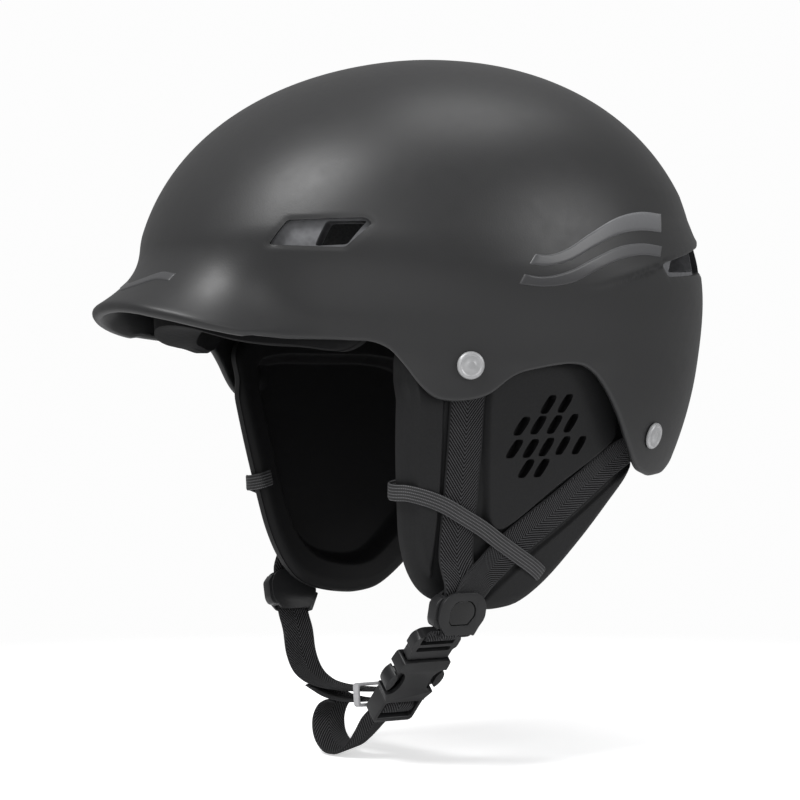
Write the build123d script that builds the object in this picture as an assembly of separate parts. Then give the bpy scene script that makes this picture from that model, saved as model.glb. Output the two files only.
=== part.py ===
from build123d import *
import math
import os

# Water-sports helmet with ear pads, straps and chin buckle, in millimetres.
# +X wearer's left, -Y front (brim), +Z up. The origin is the head centre, level with the brim.
# Parts that come in pairs are built on the left and mirrored across x = 0.

# ---- driving dimensions -------------------------------------------------
# dome sizes: half width, reach to the front, reach to the back, height
SHELL = (109.5, 141.0, 130.5, 115.0)
HEAD = (84.0, 112.0, 104.0, 96.0)
SHELL_WALL = 3.5
WIDTH_POWER, FRONT_POWER, BACK_POWER = 3.2, 2.13, 1.95  # how each size tapers with height
TUCK_BACK, TUCK_WIDTH = 0.0035, 0.0020  # quadratic draw-in below z = 0
SECTION_POWER = 2.15  # superellipse power of the level sections
BRIM_REACH, BRIM_START, BRIM_FALL = 20.0, 28.0, 27.0
BRIM_LIMIT = 1.4  # the flare stops growing at this multiple of BRIM_FALL
BRIM_HALF_ANGLE = 88.0
HEADING_STEP = 10  # degrees between section points

LINER_GAP = 0.4
COMFORT_GAP, COMFORT_THICK = 0.4, 6.0

PAD_X0, PAD_SLOPE, PAD_CURVE, PAD_MID_Y = 97.0, 0.25, 0.0028, -5.0
PAD_THICK, PAD_SKIN, PAD_PANEL_RAISE = 14.0, 5.0, 1.2
CHANNEL_DEPTH = 2.2

WEB_WIDTH, WEB_THICK = 16.5, 1.6
CHIN_WEB_THICK, SHORT_WEB_THICK = 1.5, 1.4
WEB_SLOT_HALF = WEB_WIDTH / 2 + 0.4
ELASTIC_GAP, ELASTIC_THICK = 0.2, 1.2

FRONT_RIVET, REAR_RIVET = (70.8, -24.5), (116.0, -55.5)  # heading, height
RIVETS = [FRONT_RIVET, REAR_RIVET]
RIVET_HEAD_R, RIVET_SHANK_R, RIVET_HOLE_R = 6.0, 2.4, 2.5

Y_AXIS = Vector(0, 1, 0)
CHIN_Y = -33.0
DIVIDER_CENTRE = Vector(71.0, CHIN_Y, -131.0)
DIVIDER_WIDTH, DIVIDER_LENGTH, DIVIDER_THICK = 24.0, 19.0, 7.4
PAD_DOWN = Vector(-PAD_SLOPE, 0, -1).normalized()
PAD_OUT = Vector(1, 0, -PAD_SLOPE).normalized()
# a frame is (origin, x axis, y axis, z axis)
DIVIDER = (DIVIDER_CENTRE, Y_AXIS, PAD_DOWN, PAD_OUT)

MOUTH = Vector(44.7, CHIN_Y, -152.0)  # where the buckle halves meet
BUCKLE_ALONG = Vector(-0.7120, 0, -0.7022).normalized()
BUCKLE_OUT = Vector(0.7022, 0, -0.7120).normalized()
BUCKLE = (MOUTH, BUCKLE_ALONG, Y_AXIS, BUCKLE_OUT)
MALE_WIDTH, FEMALE_WIDTH, BUCKLE_THICK = 24.0, 25.0, 8.4
MALE_LENGTH, FEMALE_LENGTH = 16.5, 42.0


# ---- dome surface -------------------------------------------------------
def section_point(heading, z, inset=0.0, flare=True, sizes=SHELL):
    """Point of a dome at a heading (0 = front, 90 = wearer's left) and height z."""
    width, front, back, height = (size - inset for size in sizes)
    rise = min(max(z / height, 0.0), 1.0)
    width *= math.sqrt(max(1 - rise**WIDTH_POWER, 0))
    front *= math.sqrt(max(1 - rise**FRONT_POWER, 0))
    back *= math.sqrt(max(1 - rise**BACK_POWER, 0))
    drop = min(z, 0.0)
    width -= TUCK_WIDTH * drop * drop
    back -= TUCK_BACK * drop * drop
    angle = math.radians(heading)
    cosine, sine = math.cos(angle), math.sin(angle)
    power = 2 / SECTION_POWER
    x = width * math.copysign(abs(sine) ** power, sine) if abs(sine) > 1e-12 else 0.0
    y_share = abs(cosine) ** power if abs(cosine) > 1e-12 else 0.0
    y = -front * y_share if cosine >= 0 else back * y_share
    if flare:
        turn = abs(math.degrees(math.atan2(sine, cosine)))
        reach = 0.0
        if turn < BRIM_HALF_ANGLE:
            reach = BRIM_REACH * math.cos(math.radians(turn / BRIM_HALF_ANGLE * 90)) ** 1.1
        fall = min(max((BRIM_START - z) / BRIM_FALL, 0.0), BRIM_LIMIT)
        push = reach * fall * fall
        if inset > 0:
            # keeps the wall thickness even where the brim slopes
            slope = reach * 2 * fall / BRIM_FALL if fall < BRIM_LIMIT else 0.0
            push -= inset * (math.sqrt(1 + slope * slope) - 1)
        radius = math.hypot(x, y) + 1e-9
        x += push * x / radius
        y += push * y / radius
    return Vector(x, y, z)


def surface_normal(heading, z):
    around = section_point(heading + 0.4, z) - section_point(heading - 0.4, z)
    upward = section_point(heading, z + 0.5) - section_point(heading, z - 0.5)
    return around.cross(upward).normalized()


def dome(inset, heights, flare=True, sizes=SHELL):
    """Solid lofted through level sections of a dome."""
    wires = []
    for z in heights:
        points = [section_point(heading, z, inset, flare, sizes)
                  for heading in range(0, 360, HEADING_STEP)]
        wires.append(Wire([Edge.make_spline(points, periodic=True)]))
    return Solid.make_loft(wires, ruled=True)


# ---- solid helpers ------------------------------------------------------
def prism(points, travel):
    return Solid.extrude(Face(Wire.make_polygon(points, close=True)), travel)


def prism_x(outline, x0, x1):
    """Prism of a (y, z) outline."""
    return prism([Vector(x0, y, z) for y, z in outline], Vector(x1 - x0, 0, 0))


def prism_y(outline, y0, y1):
    """Prism of an (x, z) outline."""
    return prism([Vector(x, y0, z) for x, z in outline], Vector(0, y1 - y0, 0))


def prism_z(outline, z0, z1):
    """Prism of an (x, y) outline."""
    return prism([Vector(x, y, z0) for x, y in outline], Vector(0, 0, z1 - z0))


def wall_cutter(outline, normal, back, ahead):
    """Prism of a (heading, z) outline on the shell, flattened to its mean plane."""
    points = [section_point(heading, z) for heading, z in outline]
    centre = sum(points, Vector(0, 0, 0)) * (1 / len(points))
    flat = [point - normal * ((point - centre).dot(normal) + back) for point in points]
    return prism(flat, normal * (back + ahead))


def plate(frame, outline, z0, z1):
    """Prism of an (x, y) outline in a local frame."""
    origin, x_axis, y_axis, z_axis = frame
    points = [origin + x_axis * x + y_axis * y + z_axis * z0 for x, y in outline]
    return prism(points, z_axis * (z1 - z0))


def block(frame, x0, x1, half_y, half_z):
    """Box in a local frame, centred across y and z."""
    outline = [(x0, -half_y), (x1, -half_y), (x1, half_y), (x0, half_y)]
    return plate(frame, outline, -half_z, half_z)


def rod(base, axis, radius, start, end):
    return Solid.make_cylinder(radius, end - start, Plane(origin=base + axis * start, z_dir=axis))


def ribbon(stations, width, thick):
    """Strap through stations of (centre, width direction, face normal)."""
    wires = []
    for centre, across, normal in stations:
        across, normal = across.normalized(), normal.normalized()
        corners = [centre + across * (i * width / 2) + normal * (j * thick / 2)
                   for i, j in ((-1, -1), (1, -1), (1, 1), (-1, 1))]
        wires.append(Wire.make_polygon(corners, close=True))
    lengths = [Solid.make_loft([first, second], ruled=True)
               for first, second in zip(wires, wires[1:])]
    strap = lengths[0]
    for length in lengths[1:]:
        strap = strap + length
    return strap


def mirrored(shape):
    return mirror(shape, about=Plane.YZ)


def save(name, *shapes):
    solids = [solid for shape in shapes for solid in shape.solids()]
    part = solids[0]
    if len(solids) > 1:
        part = Compound(children=[Solid(solid.wrapped) for solid in solids])
    export_step(part, f"parts/{name}.step")


def save_pair(name, *shapes):
    save("left_" + name, *shapes)
    save("right_" + name, *[mirrored(shape) for shape in shapes])


os.makedirs("parts", exist_ok=True)

# ---- outer shell --------------------------------------------------------
# section heights of the outer and inner faces
SHELL_OUT_Z = [-76, -54, -34, -18, -9.8, -3, 4, 11, 19, 28, 38, 48, 58, 66, 74, 82, 88, 94, 99,
               103.5, 107, 110, 112.3, 114]
SHELL_IN_Z = [-80, -54, -34, -18, -9.8, -3, 4, 11, 19, 28, 38, 48, 57, 65, 73, 80, 86, 91.5, 96,
              100, 103.5, 106.4, 108.6, 110.6]
# lower edge in side view: y, z
SHELL_RIM = [
    (-205, 4.2), (-161.2, 3.0), (-159.1, 1.5), (-157.7, -2.0), (-154.1, -5.8), (-148.0, -8.5),
    (-141.9, -10.8), (-130.3, -12.2), (-115.1, -12.8), (-100.0, -13.5), (-96.1, -14.5),
    (-90.1, -17.5), (-82.7, -25.0), (-77.3, -31.5), (-71.7, -36.2), (-68.3, -37.8),
    (-61.3, -38.5), (-51.4, -37.8), (-42.9, -35.2), (-35.1, -29.4), (-28.1, -26.2),
    (-12.0, -23.8), (-0.9, -22.5), (8.3, -23.4), (14.4, -26.8), (20.8, -32.5), (28.8, -42.2),
    (38.5, -56.5), (46.2, -66.2), (50.4, -70.0), (60.4, -72.6), (73.0, -72.0), (87.5, -68.5),
    (94.5, -65.5), (103.0, -62.5), (111.0, -60.0), (119.0, -58.5), (140.0, -58.0)]
RIM_CUT_BOTTOM, RIM_CUT_HALF = -110.0, 150.0
# vent outlines on the shell: heading, z
FRONT_VENT = [(30.2, 26.2), (33.8, 36.2), (49.0, 37.2), (50.6, 36.8), (51.6, 35.0), (51.2, 33.4),
              (47.6, 26.2), (46.0, 24.9), (43.0, 24.6)]
REAR_VENT = [(115.4, 20.4), (130.0, 26.5), (144.0, 31.2), (149.5, 30.0), (149.5, 20.0),
             (144.0, 17.5), (130.0, 15.8), (118.2, 14.6)]
FRONT_VENT_OUT = Vector(0.79, -0.61, 0).normalized()
REAR_VENT_OUT = Vector(0.80, 0.60, 0).normalized()


def below(rim):
    """Everything under a (y, z) rim line."""
    floor = [(rim[-1][0], RIM_CUT_BOTTOM), (rim[0][0], RIM_CUT_BOTTOM)]
    return prism_x(rim + floor, -RIM_CUT_HALF, RIM_CUT_HALF)


def rivet_axis(rivet):
    return section_point(*rivet), surface_normal(*rivet)


def outer_shell():
    shell = dome(0.0, SHELL_OUT_Z) - dome(SHELL_WALL, SHELL_IN_Z) - below(SHELL_RIM)
    cutters = [wall_cutter(FRONT_VENT, FRONT_VENT_OUT, 16, 12),
               wall_cutter(REAR_VENT, REAR_VENT_OUT, 22, 14)]
    cutters += [rod(*rivet_axis(rivet), RIVET_HOLE_R, -12, 12) for rivet in RIVETS]
    for cutter in cutters:
        shell = shell - cutter - mirrored(cutter)
    return shell


save("outer_shell", outer_shell())

# ---- foam liner ---------------------------------------------------------
LINER_OUT_Z = [-64, -44, -26, -12, 0, 12, 24, 36, 47, 57, 66, 74, 81, 87, 92.5, 97.3, 101.5,
               105, 107.8, 110.0]
LINER_IN_Z = [-68, -44, -26, -12, 0, 12, 24, 35, 45, 54, 62, 69.5, 76, 81.5, 86, 89.5, 92.2,
              94.2, 95.3]
# lower edge in side view: y, z
LINER_RIM = [
    (-145, -4.5), (-137.0, -6.5), (-125.0, -13.5), (-115.0, -15.2), (-100.0, -16.0),
    (-92.0, -18.5), (-84.0, -19.0), (-79.0, -14.0), (-73.0, 4.0), (42.0, 4.0), (58.0, -28.0),
    (70.0, -46.0), (90.0, -50.0), (135.0, -48.0)]
# ventilation channels under the rear half of each front vent and under each rear vent: heading, z
FRONT_CHANNEL = [(40.0, 25.6), (42.0, 35.8), (50.4, 35.8), (46.8, 26.0)]
REAR_CHANNEL = [(120.5, 17.2), (122.5, 22.0), (142.0, 28.0), (142.0, 18.6)]


def foam_liner():
    liner = dome(SHELL_WALL + LINER_GAP, LINER_OUT_Z, flare=False)
    liner = liner - dome(0.0, LINER_IN_Z, flare=False, sizes=HEAD) - below(LINER_RIM)
    for outline, normal in ((FRONT_CHANNEL, FRONT_VENT_OUT), (REAR_CHANNEL, REAR_VENT_OUT)):
        channel = wall_cutter(outline, normal, 60, 10)
        liner = liner - channel - mirrored(channel)
    return liner


save("foam_liner", foam_liner())

# ---- comfort padding, pieces of one layer lining the head cavity --------
COMFORT_OUT_Z = [-38, -26, -12, 0, 12, 24, 35, 45, 54, 62, 69.5, 76, 81.5, 86, 89.5, 92.2,
                 94.0, 94.9]
COMFORT_IN_Z = [-42, -26, -12, 0, 12, 24, 35, 45, 53.5, 61, 68, 73.5, 78.3, 82.2, 85.2, 87.3,
                88.6, 89.0]
BROW_PLAN = [(-70, -150), (70, -150), (62, -40), (-62, -40)]  # x, y
REAR_PLAN = [(-52, 50), (52, 50), (60, 140), (-60, 140)]  # x, y
SIDE_VIEW = [(-34, 12), (36, 12), (30, 48), (-28, 48)]  # y, z
# the two bars of the crown cross: x, y
CROWN_ACROSS = [(-46, -16), (46, -16), (46, 16), (-46, 16)]
CROWN_ALONG = [(-16, -62), (16, -62), (16, 62), (-16, 62)]

comfort_layer = (
    dome(COMFORT_GAP, COMFORT_OUT_Z, flare=False, sizes=HEAD)
    - dome(COMFORT_GAP + COMFORT_THICK, COMFORT_IN_Z, flare=False, sizes=HEAD))
save("brow_pad", comfort_layer & prism_z(BROW_PLAN, -6, 24))
side_pad = comfort_layer & prism_x(SIDE_VIEW, 40, 140)
save("side_pads", side_pad, mirrored(side_pad))
save("rear_pad", comfort_layer & prism_z(REAR_PLAN, -30, 12))
crown_cross = prism_z(CROWN_ACROSS, 40, 120) + prism_z(CROWN_ALONG, 40, 120)
save("crown_pad", comfort_layer & crown_cross)

# ---- badges, raised wave ribbons ----------------------------------------
BADGE_GAP, BADGE_OUTER = 0.08, 0.68  # offsets of the badge faces from the shell
# side outlines: y, z
SIDE_WAVE_LOW = [
    (-26, 9.5), (-14, 8.6), (0, 10.5), (14, 16.5), (28, 21.5), (42, 23.0), (54, 22.5),
    (56, 27.5), (42, 28.6), (27, 27.0), (12, 21.8), (-2, 16.0), (-15, 13.8), (-24, 14.2)]
SIDE_WAVE_HIGH = [
    (-22, 18.2), (-13, 17.6), (-2, 20.0), (12, 26.4), (27, 32.0), (42, 34.2), (57, 34.0),
    (60, 42.5), (42, 42.6), (26, 39.4), (10, 32.0), (-3, 25.0), (-13, 22.2), (-19, 22.6)]
# front outline: x, z
FRONT_WAVE = [(-20, 9.0), (-11, 7.6), (0, 9.6), (10, 12.0), (20, 11.2), (20, 14.6), (10, 15.6),
              (0, 13.2), (-11, 11.2), (-20, 12.8)]

# shell section heights are reused, so the skin follows the shell's facets with an even gap
badge_skin = dome(-BADGE_OUTER, SHELL_OUT_Z[4:14]) - dome(-BADGE_GAP, SHELL_OUT_Z[3:15])
side_badges = [badge_skin & prism_x(wave, 60, 140) for wave in (SIDE_WAVE_LOW, SIDE_WAVE_HIGH)]
save("side_badges", *side_badges, *[mirrored(badge) for badge in side_badges])
save("front_badge", badge_skin & prism_y(FRONT_WAVE, -190, -90))

# ---- rivets and their washers -------------------------------------------
# radius, start and end along the outward normal, from the shell surface
RIVET_STEPS = [
    (RIVET_HEAD_R, 0.35, 1.6),
    (RIVET_HEAD_R - 1.0, 1.6, 2.3),
    (RIVET_SHANK_R, -8.2, 0.4),
    (3.6, -8.9, -8.1)]
RIVET_RECESS = (3.4, 1.9, 3.0)
WASHER = (5.5, -8.0, -7.0)
WASHER_HOLE = (RIVET_SHANK_R + 0.06, -9, -6)


def strap_rivet(place, normal):
    rivet = rod(place, normal, *RIVET_STEPS[0])
    for step in RIVET_STEPS[1:]:
        rivet = rivet + rod(place, normal, *step)
    return rivet - rod(place, normal, *RIVET_RECESS)


def rivet_washer(place, normal):
    return rod(place, normal, *WASHER) - rod(place, normal, *WASHER_HOLE)


for name, build in (("strap_rivets", strap_rivet), ("rivet_washers", rivet_washer)):
    pieces = []
    for rivet in RIVETS:
        piece = build(*rivet_axis(rivet))
        pieces += [piece, mirrored(piece)]
    save(name, *pieces)

# ---- ear pad surface ----------------------------------------------------
SLAB_Y = [-90, -70, -50, -30, -10, 10, 30, 50, 70, 95]
SLAB_Z0, SLAB_Z1 = -175.0, 20.0


def on_pad(y, z, offset_x):
    """Point at (y, z), offset_x outside the curved, sloping outer face of the left pad."""
    return Vector(PAD_X0 + PAD_SLOPE * z - PAD_CURVE * (y - PAD_MID_Y) ** 2 + offset_x, y, z)


def pad_normal(y):
    return Vector(1, 2 * PAD_CURVE * (y - PAD_MID_Y), -PAD_SLOPE).normalized()


def pad_slice(outline, inner, outer):
    """Prism of a (y, z) outline between two x offsets of the pad face."""
    low = [on_pad(y, SLAB_Z0, inner) for y in SLAB_Y]
    high = [on_pad(y, SLAB_Z0, outer) for y in SLAB_Y]
    wire = Wire([
        Edge.make_spline(low), Edge.make_line(low[-1], high[-1]),
        Edge.make_spline(high), Edge.make_line(high[0], low[0])])
    rise = SLAB_Z1 - SLAB_Z0
    return prism_x(outline, 20, 150) & Solid.extrude(Face(wire), Vector(PAD_SLOPE * rise, 0, rise))


def band(path, half):
    """Closed outline lying half to each side of a (y, z) path."""
    left, right = [], []
    for i, (y, z) in enumerate(path):
        before = path[max(i - 1, 0)]
        after = path[min(i + 1, len(path) - 1)]
        dy, dz = after[0] - before[0], after[1] - before[1]
        length = math.hypot(dy, dz)
        side_y, side_z = -dz / length, dy / length
        left.append((y + side_y * half, z + side_z * half))
        right.append((y - side_y * half, z - side_z * half))
    return left + right[::-1]


# ---- strap routes on the left side --------------------------------------
# web centre lines on the pad: y, z
FRONT_PATH = [(-36.6, -39.0), (-34.8, -60.8), (-33.4, -82.0), (-32.4, -100.0)]
REAR_PATH = [(58.5, -61.5), (33.5, -77.8), (4.0, -97.5), (-14.0, -112.5)]
# unit directions (y, z) of the rear path, pointing up and back, at its two ends
REAR_TOP_DIR, REAR_LOW_DIR = (0.838, 0.546), (0.78, 0.62)
REAR_END_STEP = 0.9  # the rear end ribbons start this far beyond the path

WEB_INNER = -CHANNEL_DEPTH + 0.2
WEB_OUTER = WEB_INNER + WEB_THICK
WEB_MIDDLE = (WEB_INNER + WEB_OUTER) / 2
TAB_DEPTH = 5.4  # riveted strap ends lie this far inside the shell surface
REAR_END_WIDTH = WEB_WIDTH * 0.72
DIVIDER_ENTRY = DIVIDER_CENTRE + PAD_DOWN * (-DIVIDER_LENGTH / 2 + 3.0)
DIVIDER_LAYER = 1.15  # the webs pass the divider's mid plane at this distance on each side


def tab_stations(rivet, target, reference, below_rivet, above_rivet):
    """Stations of a riveted strap end, flat inside the shell and aimed at target."""
    place, normal = rivet_axis(rivet)
    centre = place - normal * TAB_DEPTH
    aim = target - place
    along = (aim - normal * aim.dot(normal)).normalized()
    across = normal.cross(along).normalized()
    if across.dot(reference) < 0:
        across = -across
    return [(centre + along * below_rivet, across, normal),
            (centre - along * above_rivet, across, normal)]


def pad_tangent(ahead):
    """Front-to-back direction along the pad face, a distance ahead of its middle."""
    return Vector(2 * PAD_CURVE * ahead, 1, 0)


def rear_station(point, direction, beyond):
    """Rear web station on the pad, moved beyond its path point along direction."""
    y, z = point
    dir_y, dir_z = direction
    side_y, side_z = dir_z * 8, -dir_y * 8
    across = on_pad(y + side_y, z + side_z, 0) - on_pad(y - side_y, z - side_z, 0)
    place = on_pad(y + beyond * dir_y, z + beyond * dir_z, WEB_MIDDLE)
    return (place, across, pad_normal(y))


front_start = on_pad(-36.6, -38.9, WEB_MIDDLE)
front_top = [
    (front_start, pad_tangent(32), pad_normal(-36.6)),
    (on_pad(-37.0, -33.0, WEB_MIDDLE + 0.6), Vector(-0.12, 1, 0.04), Vector(1, 0.12, -0.3)),
    *tab_stations(FRONT_RIVET, front_start, Y_AXIS, 7.5, 7.0)]
front_end = [
    (on_pad(-32.4, -99.9, WEB_MIDDLE), pad_tangent(27), pad_normal(-32.4)),
    (DIVIDER_ENTRY - PAD_OUT * DIVIDER_LAYER, Y_AXIS, PAD_OUT)]
rear_top = [
    rear_station(REAR_PATH[0], REAR_TOP_DIR, REAR_END_STEP),
    *tab_stations(REAR_RIVET, on_pad(*REAR_PATH[0], WEB_MIDDLE), Vector(0, 16.3, -25), 7.0, 6.5)]
rear_end = [
    rear_station(REAR_PATH[-1], REAR_LOW_DIR, -REAR_END_STEP),
    (DIVIDER_ENTRY + PAD_OUT * DIVIDER_LAYER + Y_AXIS * 7.5, Vector(0, 1, -0.9), Vector(1, 0, 0))]
# running room around the strap ends, cut from the pad and divider
front_end_room = ribbon(front_end, WEB_WIDTH + 0.8, WEB_THICK + 0.5)
rear_end_room = ribbon(rear_end, REAR_END_WIDTH + 0.8, WEB_THICK + 0.5)

# ---- ear pads -----------------------------------------------------------
# outlines in side view: y, z
PAD_OUTLINE = [
    (-64.1, -18.9), (-63.6, -30), (-63.0, -39.3), (-60.5, -60.6), (-57.1, -82.2),
    (-53.2, -101.8), (-47.7, -115.0), (-41.1, -123.2), (-33.5, -127.6), (-23.5, -130.4),
    (-13.1, -131.8), (-6.2, -131.9), (4.5, -129.9), (17.5, -122.0), (36.1, -104.8),
    (53.3, -87.4), (66.0, -74.0), (68.6, -66.0), (64.0, -50.0), (56.0, -32.0), (46.0, -17.0),
    (34.0, -9.5), (10.0, -6.5), (-20.0, -6.5), (-46.0, -8.0), (-58.5, -11.5)]
POCKET = [
    (-50.0, -24.0), (-48.0, -60.0), (-44.5, -86.0), (-38.5, -104.0), (-29.0, -113.5),
    (-12.0, -118.0), (0.0, -117.0), (10.0, -111.0), (27.0, -95.0), (44.0, -78.0),
    (52.5, -66.0), (48.0, -46.0), (38.0, -28.0), (26.0, -21.0), (-10.0, -19.5), (-40.0, -20.0)]
PANEL = [(-29.6, -37.2), (-20.8, -91.6), (-10.5, -98.6), (51.0, -58.3), (44.8, -39.8),
         (31.8, -27.4), (0.0, -24.5), (-20.0, -26.5)]
# the channels run past both ends of the webs
CHANNELS = [[(-37.2, -2.0), *FRONT_PATH, (-32.6, -140.0)],
            [(76.0, -49.5), *REAR_PATH, (-30.0, -127.0)]]
# slanted slots: centres, then corners about a centre
SLOTS = [(3, -41.5), (12.5, -41.1), (-9.6, -50.8), (-0.9, -50.4), (8.1, -50.3), (17.6, -49.8),
         (-11.7, -60.7), (-3.1, -60.6), (5.4, -60.1), (14.8, -59.6), (24.6, -59.6), (-4, -69.4),
         (4.4, -69.3)]
SLOT_CORNERS = [(-3.3, -3.7), (0.2, 3.7), (3.3, 3.7), (-0.1, -3.7)]


def ear_pad():
    pad = pad_slice(PAD_OUTLINE, -PAD_THICK, 0)
    pad = pad + pad_slice(PANEL, -2.0, PAD_PANEL_RAISE)
    pad = pad - pad_slice(POCKET, -40, -PAD_SKIN)
    for path in CHANNELS:
        pad = pad - pad_slice(band(path, WEB_WIDTH / 2 + 0.6), -CHANNEL_DEPTH, 8)
    for y, z in SLOTS:
        pad = pad - prism_x([(y + dy, z + dz) for dy, dz in SLOT_CORNERS], 40, 120)
    pad = pad - ribbon(front_top, WEB_WIDTH + 0.8, WEB_THICK + 0.8)
    return pad - front_end_room


save_pair("ear_pad", ear_pad())


# ---- front and rear straps ----------------------------------------------
def strap_hole(rivet):
    return rod(*rivet_axis(rivet), RIVET_HOLE_R + 0.1, -12, 6)


def front_strap():
    strap = pad_slice(band(FRONT_PATH, WEB_WIDTH / 2), WEB_INNER, WEB_OUTER)
    strap = strap + ribbon(front_top, WEB_WIDTH, WEB_THICK)
    strap = strap + ribbon(front_end, WEB_WIDTH, WEB_THICK)
    return strap - strap_hole(FRONT_RIVET)


def rear_strap():
    """Three separate lengths: on the pad, up to the rivet, down to the divider."""
    web = pad_slice(band(REAR_PATH, WEB_WIDTH / 2), WEB_INNER, WEB_OUTER)
    top = ribbon(rear_top, WEB_WIDTH, WEB_THICK) - strap_hole(REAR_RIVET)
    end = ribbon(rear_end, REAR_END_WIDTH, WEB_THICK)
    end = end - ribbon(front_end, WEB_WIDTH + 0.8, WEB_THICK + 0.3)
    return web, top, end


save_pair("front_strap", front_strap())
save_pair("rear_strap", *rear_strap())

# ---- elastic band over the pad: y, z ------------------------------------
ELASTIC = [(-58.6, -76.4), (-40.7, -81.9), (-12.6, -97.4), (19.2, -115.6), (12.5, -120.7),
           (-12.8, -105.4), (-42.2, -87.9), (-57.6, -82.6)]
elastic_inner = PAD_PANEL_RAISE + ELASTIC_GAP
save_pair("elastic", pad_slice(ELASTIC, elastic_inner, elastic_inner + ELASTIC_THICK))

# ---- strap dividers, in the DIVIDER frame -------------------------------
WINDOW = [(-6.5, -3.0), (-4.0, -5.8), (4.0, -5.8), (6.5, -3.0), (6.5, 1.0), (3.4, 5.0),
          (-5.4, 5.0), (-6.5, 3.6)]
WINDOW_SCALE = 0.97
DIVIDER_FACE = DIVIDER_THICK / 2


def strap_divider():
    half_w, half_l = DIVIDER_WIDTH / 2, DIVIDER_LENGTH / 2
    outline = [
        (-half_w, -half_l + 6.0), (-half_w + 3.0, -half_l + 1.6), (-half_w + 8.0, -half_l),
        (half_w - 8.0, -half_l), (half_w - 3.0, -half_l + 1.6), (half_w, -half_l + 6.0),
        (half_w, 2.0), (half_w - 4.6, half_l), (-half_w + 4.6, half_l), (-half_w, 3.0)]
    slot_half = WEB_WIDTH / 2 + 0.5
    divider = plate(DIVIDER, outline, -DIVIDER_FACE, DIVIDER_FACE)
    divider = divider - block(DIVIDER, -slot_half, slot_half, half_l + 1, 2.3)
    divider = divider - plate(DIVIDER, WINDOW, DIVIDER_FACE - 1.0, DIVIDER_FACE + 1)
    return divider - front_end_room - rear_end_room


def divider_window():
    outline = [(x * WINDOW_SCALE, y * WINDOW_SCALE) for x, y in WINDOW]
    return plate(DIVIDER, outline, DIVIDER_FACE - 0.95, DIVIDER_FACE - 0.35)


save_pair("divider", strap_divider())
save_pair("divider_window", divider_window())


# ---- webs below the dividers --------------------------------------------
def path_ribbon(path, thick, width=WEB_WIDTH):
    """Strap along (x, z) points at y = CHIN_Y, or (x, z, y) points."""
    stations = []
    for i, row in enumerate(path):
        x, z, y = (*row, CHIN_Y)[:3]
        before = path[max(i - 1, 0)]
        after = path[min(i + 1, len(path) - 1)]
        dx, dz = after[0] - before[0], after[1] - before[1]
        stations.append((Vector(x, y, z), Y_AXIS, Vector(-dz, 0, dx)))
    return ribbon(stations, width, thick)


MALE_SLOTS = [(2.2, 6.2), (8.0, 10.8)]  # start and end, from the tail of the male half
anchor = MOUTH + BUCKLE_ALONG * (-MALE_LENGTH + sum(MALE_SLOTS[0]) / 2)
anchor_bend = anchor + BUCKLE_OUT * 3.6 + Vector(1.6, 0, 1.2)
web_start = DIVIDER_CENTRE + PAD_DOWN * 3.0
divider_exit = DIVIDER_CENTRE + PAD_DOWN * (DIVIDER_LENGTH / 2 + 1.2)
# x, z
SHORT_PATH = [(web_start.X, web_start.Z), (divider_exit.X, divider_exit.Z),
              (anchor_bend.X, anchor_bend.Z), (anchor.X - 0.2, anchor.Z)]
CHIN_PATH = [
    (-web_start.X, web_start.Z), (-divider_exit.X, divider_exit.Z), (-64.2, -149.0),
    (-60.0, -161.5), (-53.0, -168.5), (-42.0, -172.0), (-28.0, -173.2), (-12.0, -172.6),
    (2.0, -171.2), (10.0, -170.3), (17.0, -169.9), (19.9, -170.6), (22.4, -172.9)]
RETURN_PATH = [(-38.0, -174.6), (-28.0, -177.0), (-12.0, -177.2), (2.0, -175.8),
               (11.0, -174.6), (15.3, -175.1), (17.6, -177.2)]
# x, z, y
TAIL_PATH = [
    (10.5, -179.8, -33.0), (4.5, -184.2, -32.4), (-3.0, -189.0, -31.0), (-12.0, -197.0, -30.0),
    (-22.0, -200.5, -30.0), (-32.0, -197.5, -30.0), (-37.0, -190.0, -30.0),
    (-34.0, -183.8, -31.0), (-27.0, -181.0, -32.0)]

save("left_short_web", path_ribbon(SHORT_PATH, SHORT_WEB_THICK))
save("chin_web", path_ribbon(CHIN_PATH, CHIN_WEB_THICK))
save("chin_web_return", path_ribbon(RETURN_PATH, CHIN_WEB_THICK))
save("tail_loop", path_ribbon(TAIL_PATH, CHIN_WEB_THICK))

# keeper ring around both chin web layers
KEEPER = (Vector(3.5, CHIN_Y, -173.2), Vector(14, 0, 1.4).normalized(), Y_AXIS,
          Vector(-1.4, 0, 14).normalized())
save("strap_keeper", block(KEEPER, -2.0, 2.0, WEB_WIDTH / 2 + 2.0, 5.4)
     - block(KEEPER, -3, 3, WEB_WIDTH / 2 + 0.5, 4.0))

# ---- buckle, in the BUCKLE frame ----------------------------------------
# The side is -1 for the front and 1 for the rear; outlines below are for the rear side.
PIVOT_X, PIVOT_Y = -2.6, 7.4
SOCKET_MOUTH = [(-3.6, 5.2), (0.5, 5.0), (0.5, 9.8), (-3.6, 9.6)]
PRONG_ARM = [(-1.6, 6.1), (6.0, 6.2), (12.0, 7.4), (17.5, 8.6), (20.0, 8.8), (20.0, 11.2),
             (19.0, 12.6), (16.0, 13.3), (11.0, 13.3), (8.0, 12.4), (8.0, 10.4), (5.0, 8.9),
             (-1.6, 8.9)]
PRONG_HALF_THICK = 1.7


def on_side(outline, side):
    return [(x, side * y) for x, y in outline]


def pivot(side):
    return MOUTH + BUCKLE_ALONG * PIVOT_X + Y_AXIS * (side * PIVOT_Y)


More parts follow.
